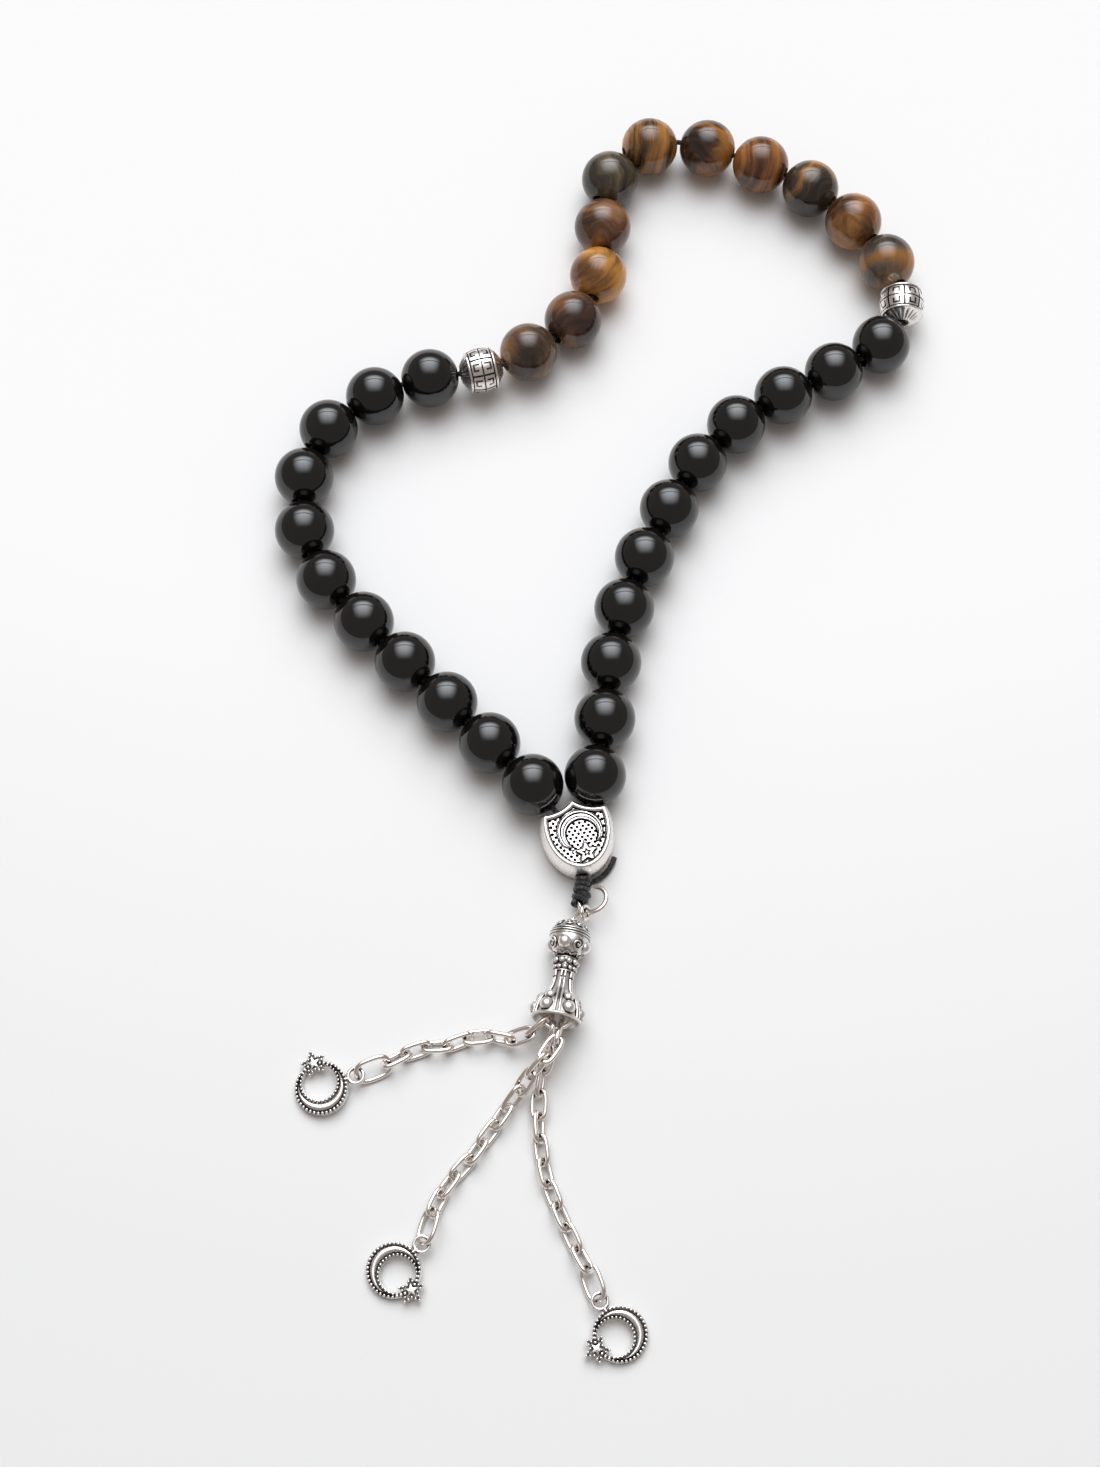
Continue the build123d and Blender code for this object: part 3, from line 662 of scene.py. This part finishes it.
rows = [np.zeros((AROUND, 3))]
rows += [np.column_stack([EDGE + OUTWARD * grow, np.full(AROUND, z)]) for grow, z in WALL]
for ring in range(1, FACE_ROWS + 1):
    spots = EDGE * (1 - ring / FACE_ROWS)
    rows.append(np.column_stack([spots, face_height(spots[:, 0], spots[:, 1], from_outline(spots))]))
bm = bmesh.new()
skin(bm, rows)
shield = settle(bm, "imam_cast", shield_place, fine_cast, "imam_shield", sharp=50)
print(shield.name, len(shield.data.polygons), "faces")

# %% [markdown]
# ## The jump ring
# A ring of stout wire with a fine cut in it joins the knot to the tassel. It is a hoop that stops
# short of a full turn, so its cut shows a little way round from the knot.
# %% Jump ring
RING_AT = Vector((-2.5, -37.4, 3.3))
RING_R, RING_WIRE = 2.3, 0.8
EYE_ANGLE, KNOT_ANGLE, RING_TILT = -121.0, 152.0, 25.0
RING_TURN, CUT_BEFORE_KNOT = 353, 62
ring_place = Matrix.Translation(RING_AT) @ Matrix.Rotation(math.radians(EYE_ANGLE), 4, "Z") @ Matrix.Rotation(
    math.radians(RING_TILT), 4, "X")


def on_ring(angle, lift=0.0, around=0.0):
    """A point on or beside the ring's wire: around is the angle about the wire, lift how far off it."""
    turn = math.radians(angle - EYE_ANGLE)
    radius = RING_R + lift * math.cos(around)
    return ring_place @ Vector((radius * math.cos(turn), radius * math.sin(turn), lift * math.sin(around)))


bm = bmesh.new()
hoop(bm, Matrix.Rotation(math.radians(KNOT_ANGLE - EYE_ANGLE - CUT_BEFORE_KNOT), 4, "Z"), RING_R, RING_WIRE,
     turn=RING_TURN, steps=72, sides=16)
settle(bm, "jump_ring_wire", ring_place, wire_silver, "jump_ring")
print("jump ring:", round(2 * RING_R + RING_WIRE, 1), "mm across")

# %% [markdown]
# ## The knot and the cut end
# Both strands come down from the shield's foot, are wound three times round the ring, and have a
# collar of cord wound round them. Every line is a curve with a round section, because cord keeps
# its thickness however it bends. One cut end curls round the shield's foot on the table.
# %% Knot
WIND_OFF = RING_WIRE / 2 + CORD_WIDE / 2 + 0.1
WIND_TURNS, WIND_HALF, WIND_STEPS = 3.0, 34, 90
COLLAR_R, COLLAR_TURNS, COLLAR_STEPS = 0.86, 3.2, 60
winding = []
for step in range(WIND_STEPS + 1):
    share = step / WIND_STEPS
    angle = KNOT_ANGLE + WIND_HALF * (2 * share - 1)
    winding.append(on_ring(angle, WIND_OFF, math.radians(20) + share * WIND_TURNS * math.tau))
shield_foot = SHIELD_AT + heading(SHIELD_HEADING) * -4.0
lines = [winding]
for side_step, end in ((-0.5, winding[0]), (0.5, winding[-1])):
    start = Vector((shield_foot.x + side_step * 1.05, shield_foot.y, 2.75))
    waist = start - heading(SHIELD_HEADING) * 2.2
    lines.append(interpolate_bezier(start, waist, end + (waist - end) * 0.5, end, 16))
collar_top = Vector((shield_foot.x + 0.1, shield_foot.y - 2.7, 2.9))
collar_way = on_ring(KNOT_ANGLE, 0.5, math.radians(90)) - collar_top
collar_place = along(collar_top, collar_way)
collar = []
for step in range(COLLAR_STEPS + 1):
    share = step / COLLAR_STEPS
    turn = share * COLLAR_TURNS * math.tau
    spot = Vector((COLLAR_R * math.cos(turn), COLLAR_R * math.sin(turn), collar_way.length * share))
    collar.append(collar_place @ spot)
lines.append(collar)
wire_curve("knot_cord", lines, CORD_WIDE, cord_black, "cord_knot")
print("knot:", len(lines), "lines of cord")

# %% Cut end
tail = interpolate_bezier(Vector((-3.0, -33.75, 0.6)), Vector((-1.1, -33.2, 0.6)), Vector((0.5, -31.6, 0.6)),
                          Vector((1.05, -29.4, 0.6)), 20)
wire_curve("tail_cord", [tail], CORD_WIDE, cord_black, "cord_tail")
print("cut end:", round(sum((b - a).length for a, b in zip(tail, tail[1:])), 1), "mm")

# %% [markdown]
# ## The pin through the cap
# One wire carries the tassel: an eye on the jump ring, a shaft through the cap, and a wide loop in
# the bell that holds the chains. Three lines of the same wire draw it, and their ends meet.
# %% Pin
BALL_TOP = Vector((-5.65, -40.75, 3.36))
CAP_WAY = heading(-99.4, 2.6)
CAP_LONG = 16.9
PIN_WIRE, EYE_R, LOOP_R = 0.65, 1.05, 2.4
EYE_LEAN = math.radians(-55.0)
pin_place = along(BALL_TOP, CAP_WAY)
pin_side = Vector((0, 0, 1)).cross(CAP_WAY).normalized()


def circle(middle, radius, one_way, other_way, steps):
    """Points once round a middle, from one way toward the other."""
    turns = [math.tau * step / steps for step in range(steps + 1)]
    return [middle + radius * (one_way * math.cos(turn) + other_way * math.sin(turn)) for turn in turns]


eye_way = (pin_side * math.cos(EYE_LEAN) + Vector((0, 0, 1)) * math.sin(EYE_LEAN)).normalized()
eye_at = on_ring(EYE_ANGLE) + CAP_WAY * 0.21
loop_at = BALL_TOP + CAP_WAY * (CAP_LONG - 1.2)
eye = circle(eye_at, EYE_R, eye_way, CAP_WAY, 40)
loop = circle(loop_at, LOOP_R, CAP_WAY, pin_side, 48)
shaft = [eye_at - eye_way * EYE_R - CAP_WAY * 0.15, BALL_TOP - CAP_WAY * 0.35, BALL_TOP]
shaft.append(loop_at - CAP_WAY * LOOP_R)
wire_curve("pin_wire", [eye, loop, shaft], PIN_WIRE, wire_silver, "eye_pin")
print("pin:", round((loop_at - eye_at).length + EYE_R + LOOP_R, 1), "mm long")

# %% [markdown]
# ## The tassel cap: its body
# The cap is one hollow casting: a ball, a thin neck and a flared bell with a thin wall. It is round
# about the pin, so its profile is spun. The same profile then tells the ornament where to lie.
# %% Profile of ball and bell
BALL_R = 3.5
BELL = [(6.5, 1.6), (7.0, 1.66), (8.8, 1.45), (10.2, 1.40), (11.6, 1.60), (12.4, 1.90),
        (13.0, 2.35), (13.6, 2.88), (14.3, 3.30), (15.2, 3.58), (16.9, 3.88)]


def cap_radius(z):
    """Outside radius of the neck and bell at this distance from the top of the ball."""
    for (z1, r1), (z2, r2) in zip(BELL, BELL[1:]):
        if z <= z2:
            return r1 + (r2 - r1) * max(0.0, (z - z1) / (z2 - z1))
    return BELL[-1][1]


def on_ball(theta, turn, lift=0.0):
    """On the ball: theta from the top, turn round the pin."""
    radius = BALL_R - 0.35 + lift
    return Vector((radius * math.sin(theta) * math.cos(turn), radius * math.sin(theta) * math.sin(turn),
                   BALL_R - radius * math.cos(theta)))


def on_bell(z, turn, lift=0.0):
    radius = cap_radius(z) + lift
    return Vector((radius * math.cos(turn), radius * math.sin(turn), z))


bm = bmesh.new()
profile = [(0.42, 0.3)]
for step in range(1, 30):
    spot = on_ball(math.pi * step / 34, 0)
    if spot.x > 0.45:
        profile.append((spot.x, spot.z))
profile += [(1.5, 6.6)] + [(cap_radius(6.9 + 0.5 * i), 6.9 + 0.5 * i) for i in range(20)]
profile += [(3.95, 16.75), (3.85, 16.9), (3.55, 16.88), (3.2, 15.9), (2.95, 15.0), (2.5, 14.2), (1.6, 13.0)]
profile += [(1.2, 12.4), (0.42, 12.4)]
turned(bm, profile, 96)
print("cap:", CAP_LONG, "mm long,", len(profile), "points in its profile")

# %% [markdown]
# ## The tassel cap: ornament on the ball
# A goldsmith would lay wire and grains on the bare ball and then cast the whole. So does this: a
# double band above the middle, big bosses and scrolls by turns below it, and scrolls above.
# Carving the same relief into the ball would need far more faces for the same sharpness.
# %% Ball
def scroll(theta, turn, size, way, wire):
    """A spiral of wire lying on the ball, its inner end closed by a grain."""
    curl = []
    for step in range(40):
        share = step / 39
        reach = size * (0.20 + 0.80 * share) / (BALL_R - 0.35)
        angle = way * 3.1 * math.pi * share + 1.2
        sideways = reach * math.cos(angle) / math.sin(theta)
        curl.append(on_ball(theta + reach * math.sin(angle), turn + sideways, 0.12))
    thread(bm, curl, wire, sides=8)
    grain(bm, on_ball(theta, turn, 0.10), wire * 0.55)


for theta, wire in ((1.16, 0.30), (1.30, 0.36), (1.44, 0.30)):
    spot = on_ball(theta, 0, 0.06)
    hoop(bm, Matrix.Translation((0, 0, spot.z)), spot.x, wire, steps=72, sides=8)
for number in range(4):
    turn = math.tau * number / 4
    grain(bm, on_ball(1.98, turn + 0.25, -0.42), 1.12, 3)
    scroll(1.98, turn + 0.25 + math.pi / 4, 0.98, 1, 0.36)
    scroll(0.80, turn + 0.95, 0.72, -1, 0.30)
    scroll(0.80, turn + 0.95 + math.pi / 4, 0.62, 1, 0.28)
for number in range(8):
    turn = math.tau * number / 8
    petal = [on_ball(2.62 - 0.20 * math.sin(math.pi * step / 10), turn + 0.72 * (step / 10 - 0.5), 0.08)
             for step in range(11)]
    thread(bm, petal, 0.32)
hoop(bm, Matrix.Translation((0, 0, 0.40)), 0.9, 0.34, steps=32, sides=8)

# %% [markdown]
# ## The tassel cap: neck and bell
# The neck has two rows of grains between thin rings. Pairs of ribs run down the bell and part
# toward its mouth, with two bosses in each panel and a heavy hoop round the rim.
# %% Neck
for z, size, count in ((7.35, 0.50, 10), (8.4, 0.40, 12)):
    for number in range(count):
        grain(bm, on_bell(z, math.tau * number / count, 0.12), size)
for z in (6.75, 8.95):
    hoop(bm, Matrix.Translation((0, 0, z)), 1.60, 0.28, steps=48, sides=8)

# %% Bell
RIBS = 6
for number in range(RIBS):
    turn = math.tau * number / RIBS + math.pi / 6
    for pair in (-0.5, 0.5):
        rib = []
        for step in range(26):
            z = 9.0 + 7.6 * step / 25
            rib.append(on_bell(z, turn + pair * (0.48 + 0.03 * (z - 9.0)) / cap_radius(z), 0.14))
        thread(bm, rib, 0.38, sides=8)
    panel = turn + math.pi / RIBS
    grain(bm, on_bell(13.65, panel, -0.10), 0.86, 3)
    grain(bm, on_bell(15.35, panel, -0.18), 1.10, 3)
hoop(bm, Matrix.Translation((0, 0, 16.66)), 3.86, 0.42, steps=96, sides=8)
cap = settle(bm, "cap_cast", pin_place, cast, "tassel_cap", sharp=50)
print(cap.name, len(cap.data.polygons), "faces")

# %% [markdown]
# ## Chains: where each link lies
# Every link lies a little differently, as they fell on the table. Where each one lies is read off
# the CAD chain rather than written down again: its loose pieces are told apart, and the spread of
# each piece's surface gives its middle, its length and its plane.
# %% Reading the links
def loose_pieces(obj):
    """The separate solids of a CAD node, as arrays of triangle corners in millimetres."""
    bm = bmesh.new()
    bm.from_mesh(obj.data)
    bmesh.ops.remove_doubles(bm, verts=bm.verts, dist=1e-7)
    bmesh.ops.triangulate(bm, faces=bm.faces)
    seen = set()
    found = []
    for first in bm.faces:
        if first in seen:
            continue
        seen.add(first)
        group = [first]
        for face in group:
            for other in (other for edge in face.edges for other in edge.link_faces if other not in seen):
                seen.add(other)
                group.append(other)
        found.append(np.array([[vert.co[:] for vert in face.verts] for face in group]) / MM)
    bm.free()
    return found


def lie(corners):
    """Middle, long direction, wide direction and thin direction of a flat piece."""
    areas = np.linalg.norm(np.cross(corners[:, 1] - corners[:, 0], corners[:, 2] - corners[:, 0]), axis=1) / 2
    middles = corners.mean(axis=1)
    centre = (middles * areas[:, None]).sum(0) / areas.sum()
    spread = (middles - centre).T @ ((middles - centre) * areas[:, None])
    _, axes = np.linalg.eigh(spread)
    thin, wide, long = (Vector(axes[:, i]) for i in range(3))
    if long.cross(wide).dot(thin) < 0:
        thin = -thin
    return Matrix.Translation(Vector(centre)) @ Matrix((long, wide, thin)).transposed().to_4x4()


# %% [markdown]
# ## Chains: links and end rings
# A link is round wire bent to a long oval with nearly straight sides. The oval is drawn as a
# superellipse, because a plain ellipse is too pointed at its ends for its neighbours to sit in.
# The right end ring was cut open for its charm, so its wire stops short and has two ends.
# %% Links and rings
LINK = {"length": 5.3, "width": 3.0, "wire": 0.77}
END_RING = {"length": 6.2, "width": 4.4, "wire": 0.78}
OPEN_STEPS = 2


def oval(bm, place, length, width, wire, gap=0, steps=40, sides=12, squareness=3.2):
    """Oval ring of wire in the place's XY plane, its long side along X, left open at one place if asked."""
    path = []
    for step in range(steps):
        turn = math.tau * step / steps + 0.6
        x, y = math.cos(turn), math.sin(turn)
        path.append(place @ Vector(((length - wire) / 2 * math.copysign(abs(x) ** (2 / squareness), x),
                                    (width - wire) / 2 * math.copysign(abs(y) ** (2 / squareness), y), 0)))
    thread(bm, path[gap:-gap] if gap else path, wire, sides, closed=not gap)


count = 0
for side in ("left", "middle", "right"):
    for part in range(1, 5):
        node = f"{side}_chain_{part}"
        bm = bmesh.new()
        for piece in loose_pieces(frame["nodes"][node]):
            oval(bm, lie(piece), **LINK)
            count += 1
        settle(bm, node + "_wire", Matrix.Identity(4), wire_silver, node)
    node = f"{side}_end_ring"
    bm = bmesh.new()
    place = lie(loose_pieces(frame["nodes"][node])[0])
    to_charm = Vector(joints[f"{side}_charm"]["pos_m"]) / MM - place.translation
    if place.to_3x3().col[0].dot(to_charm) > 0:
        place = place @ Matrix.Rotation(math.pi, 4, "Z")
    if place.to_3x3().col[1].x < 0:
        place = place @ Matrix.Rotation(math.pi, 4, "X")
    opening = OPEN_STEPS if side == "right" else 0
    oval(bm, place, **END_RING, gap=opening, steps=48, sides=14, squareness=2.9)
    settle(bm, node + "_wire", Matrix.Identity(4), wire_silver, node)
print("links:", count)

# %% [markdown]
# ## Charms: the crescent
# A charm is a thin casting: a crescent that closes behind its star, domed along its middle, with
# fine grains along both edges. The ring and the band are skins over rows, because a round hole
# set off to one side leaves no one outline to spin.
# %% Crescent
CHARM_R, HOLE_R, HOLE_SHIFT, CHARM_THICK = 4.2, 2.7, 0.9, 1.4
STAR_REACH, STAR_TIP, BAIL_REACH = 4.1, 2.1, 5.6
GRAIN_Z = 0.98


def crescent(bm, star_side):
    hole = Vector((0, star_side * HOLE_SHIFT))
    turns = [math.tau * step / 96 for step in range(96)]
    rows = []
    for share, z in ((0.0, 0.12), (0.0, 0.84), (0.06, 0.90), (0.94, 0.90), (1.0, 0.84), (1.0, 0.12)):
        radius = CHARM_R * (1 - share) + HOLE_R * share
        middle = hole * share
        rows.append([Vector((middle.x + radius * math.cos(turn), middle.y + radius * math.sin(turn), z))
                     for turn in turns])
    skin(bm, rows, closed=True)
    # the domed band, widest across from the star
    rows = []
    for step in range(61):
        angle = math.radians(-90 * star_side) + math.radians(140) * (2 * step / 60 - 1)
        out = Vector((math.cos(angle), math.sin(angle)))
        inner = hole.dot(out) + math.sqrt(HOLE_R**2 - hole.length_squared + hole.dot(out) ** 2)
        wide = max(0.02, CHARM_R - inner - 1.12) / 2
        middle = (CHARM_R + inner) / 2
        rows.append([Vector((*(out * (middle + wide * math.cos(turn))), 0.86 + 0.46 * math.sin(turn)))
                     for turn in turns[::8]])
    skin(bm, rows)
    # grains along the outer edge and round the hole
    edges = ((38, Vector((0, 0)), CHARM_R - 0.27, 0.29), (30, hole, HOLE_R + 0.27, 0.25))
    for count, middle, radius, size in edges:
        for number in range(count):
            angle = math.tau * number / count
            out = Vector((math.cos(angle), math.sin(angle)))
            grain(bm, (*(middle + out * radius), GRAIN_Z), size)


# %% [markdown]
# ## Charms: the star
# The star is a flat five-pointed plate with grains round its edge and a small smooth star on top.
# Its outline is extruded up, and both ends are closed by a face poked at its middle, so the small
# one can be raised to a low point there.
# %% Star
def star_outline(radius, inner, height):
    """The ten corners of a five-pointed star."""
    corners = []
    for point in range(10):
        reach = radius if point % 2 == 0 else inner
        angle = math.radians(90 + 36 * point)
        corners.append(Vector((reach * math.cos(angle), reach * math.sin(angle), height)))
    return corners


def star_mesh(bm, place, radius, inner, low, high, dome):
    """A closed star between two heights, its middle raised by the dome."""
    ring = [bm.verts.new(place @ corner) for corner in star_outline(radius, radius * inner, low)]
    base = [bm.edges.new((ring[i - 1], ring[i])) for i in range(10)]
    lifted = bmesh.ops.extrude_edge_only(bm, edges=base)["geom"]
    up = [item for item in lifted if isinstance(item, bmesh.types.BMVert)]
    bmesh.ops.translate(bm, verts=up, vec=place.to_3x3() @ Vector((0, 0, high - low)))
    rim = [item for item in lifted if isinstance(item, bmesh.types.BMEdge) and set(item.verts) <= set(up)]
    for edges, height in ((base, low), (rim, high + dome)):
        face = bmesh.ops.contextual_create(bm, geom=edges)["faces"]
        middle = bmesh.ops.poke(bm, faces=face)["verts"][0]
        middle.co = place @ Vector((0, 0, height))


def grained_star(bm, place):
    star_mesh(bm, place, STAR_TIP, 0.48, 0.1, 0.9, 0.0)
    star_mesh(bm, place, STAR_TIP * 0.46, 0.46, 0.88, 1.15, 0.16)
    corners = star_outline(STAR_TIP - 0.22, STAR_TIP * 0.48 - 0.02, GRAIN_Z)
    for first, second in zip(corners, corners[1:] + corners[:1]):
        for step in range(2):
            grain(bm, place @ first.lerp(second, step / 2), 0.25)


# %% [markdown]
# ## Charms: in their places
# Each charm hangs by its bail from an end ring and leans on it, so it lies tilted by a few degrees
# with its far edge on the table. The middle one lies the other way round, so it is a mirror image.
# %% Charms
CHARM_TILT = math.radians(7)
CHARM_HEADINGS = {"left": (-161, 1), "middle": (-138, -1), "right": (-58, 1)}


def charm_mesh(bm, star_side):
    crescent(bm, star_side)
    turn = 0 if star_side > 0 else math.pi
    grained_star(bm, Matrix.Translation((0, star_side * STAR_REACH, 0)) @ Matrix.Rotation(turn, 4, "Z"))
    # neck and bail
    neck = Matrix.Translation((CHARM_R + 0.05, 0, CHARM_THICK / 2)) @ Matrix.Rotation(math.pi / 2, 4, "Y")
    bmesh.ops.create_cone(bm, cap_ends=True, segments=12, radius1=0.42, radius2=0.34, depth=0.7, matrix=neck)
    hoop(bm, Matrix.Translation((BAIL_REACH + 0.05, 0, CHARM_THICK / 2)), 1.2, 0.6, steps=36, sides=12)


for side, (turn, star_side) in CHARM_HEADINGS.items():
    node = f"{side}_charm"
    hook = Vector(joints[node]["pos_m"]) / MM
    way = heading(turn)
    back = -way * math.cos(CHARM_TILT) + Vector((0, 0, 1)) * math.sin(CHARM_TILT)
    up = Vector((0, 0, 1)) * math.cos(CHARM_TILT) + way * math.sin(CHARM_TILT)
    far_edge = hook + way * ((CHARM_R + BAIL_REACH) * math.cos(CHARM_TILT) + 0.15)
    stand = Matrix((back, up.cross(back), up)).transposed().to_4x4()
    place = Matrix.Translation((far_edge.x, far_edge.y, 0)) @ stand
    bm = bmesh.new()
    charm_mesh(bm, star_side)
    place = place @ Matrix.Translation((CHARM_R, 0, 0))
    charm = settle(bm, node + "_cast", place, charm_cast, node, sharp=45)
    print(charm.name, len(charm.data.polygons), "faces")

# %% [markdown]
# ## The table
# A pale table under everything. It is a little darker far from the middle, as a lit table is, and
# that falloff of light is painted shade in its colour, so it needs no second lamp.
# %% Table
bpy.ops.mesh.primitive_plane_add(size=1.6, location=(0, 0, -0.00005))
table = bpy.context.object
table.name = "table"
board, tree, shader = new_material("table")
spread = add(tree, "ShaderNodeVectorMath", operation="LENGTH")
tree.links.new(local_coordinates(tree, (0, 260, 0)), spread.inputs[0])
half_metres = math_node(tree, "MULTIPLY", spread.outputs["Value"], 1 / 500)
pale = (0.86, 0.845, 0.825)
# the darker outer stops are painted shade: the falloff of light away from the middle
stops = [(0.0, pale), (0.5, pale), (0.72, (0.76, 0.75, 0.73)), (1.0, (0.70, 0.69, 0.675))]
colour = ramp(tree, half_metres, stops)
tree.links.new(colour, shader.inputs["Base Color"])
set_sockets(shader, {"Roughness": 0.6, "Specular IOR Level": 0.2})
table.data.materials.append(board)
print("table:", [round(side, 2) for side in table.dimensions[:2]], "m")

# %% [markdown]
# ## The room and its window
# Polished stone shows whatever is round it, so the room matters as much as the lamp. It is dim and
# warm, with one tall soft window behind and above the loop, split by a bar near its top. Drawing it
# in the world gives soft light and the window's reflection in every bead at once.
# %% Window
WINDOW_TILT, WINDOW_TURN = 27.0, -2.0
ROOM_COLOUR, WINDOW_COLOUR = (0.30, 0.275, 0.26, 1), (5.9, 6.15, 6.5, 1)
world = bpy.data.worlds.new("room")
world.use_nodes = True
tree = world.node_tree
background = tree.nodes["Background"]
where = add(tree, "ShaderNodeTexCoord")
aim = add(tree, "ShaderNodeMapping", vector_type="POINT")
aim.inputs["Rotation"].default_value = (math.radians(WINDOW_TILT), 0, math.radians(WINDOW_TURN))
tree.links.new(where.outputs["Generated"], aim.inputs["Vector"])
axes = add(tree, "ShaderNodeSeparateXYZ")
tree.links.new(aim.outputs["Vector"], axes.inputs[0])
ahead = math_node(tree, "MAXIMUM", axes.outputs["Z"], 0.05)
across_window = math_node(tree, "ABSOLUTE", math_node(tree, "DIVIDE", axes.outputs["X"], ahead))
up_window = math_node(tree, "DIVIDE", axes.outputs["Y"], ahead)


def fade(tree, value, low, high):
    """1 below low, 0 above high, smooth between."""
    node = add(tree, "ShaderNodeMapRange", interpolation_type="SMOOTHSTEP")
    set_sockets(node, {"From Min": low, "From Max": high, "To Min": 1, "To Max": 0})
    tree.links.new(value, node.inputs["Value"])
    return node.outputs["Result"]


window_sides = fade(tree, across_window, 0.08, 0.80)
window_top = fade(tree, up_window, 0.36, 0.82)
window_foot = math_node(tree, "SUBTRACT", 1.0, fade(tree, up_window, -0.95, 0.32))
from_bar = math_node(tree, "ABSOLUTE", math_node(tree, "SUBTRACT", up_window, 0.30))
bar = fade(tree, from_bar, 0.02, 0.06)
glass = math_node(tree, "MULTIPLY", math_node(tree, "MULTIPLY", window_sides, window_top), window_foot)
glass = math_node(tree, "MULTIPLY", glass, math_node(tree, "MULTIPLY_ADD", bar, -0.75, 1.0))
shade = add(tree, "ShaderNodeMix", data_type="RGBA")
shade.inputs[6].default_value = ROOM_COLOUR
shade.inputs[7].default_value = WINDOW_COLOUR
tree.links.new(glass, shade.inputs[0])
tree.links.new(shade.outputs[2], background.inputs["Color"])
bpy.context.scene.world = world
print("world:", world.name)

# %% [markdown]
# ## The camera
# It looks down on the piece from the tassel's side with a moderately long lens, from far enough
# for the near chains and the far beads to keep nearly the same scale.
# %% Camera
lens = bpy.data.cameras.new("camera")
lens.lens = 58.9
lens.sensor_width = 36
camera = bpy.data.objects.new("camera", lens)
camera.location = (-0.0093, -0.1556, 0.3662)
camera.rotation_euler = (math.radians(22), 0, 0)
bpy.context.scene.collection.objects.link(camera)
bpy.context.scene.camera = camera
bpy.context.scene.view_settings.view_transform = "Standard"
print("camera", [round(v, 3) for v in camera.location])
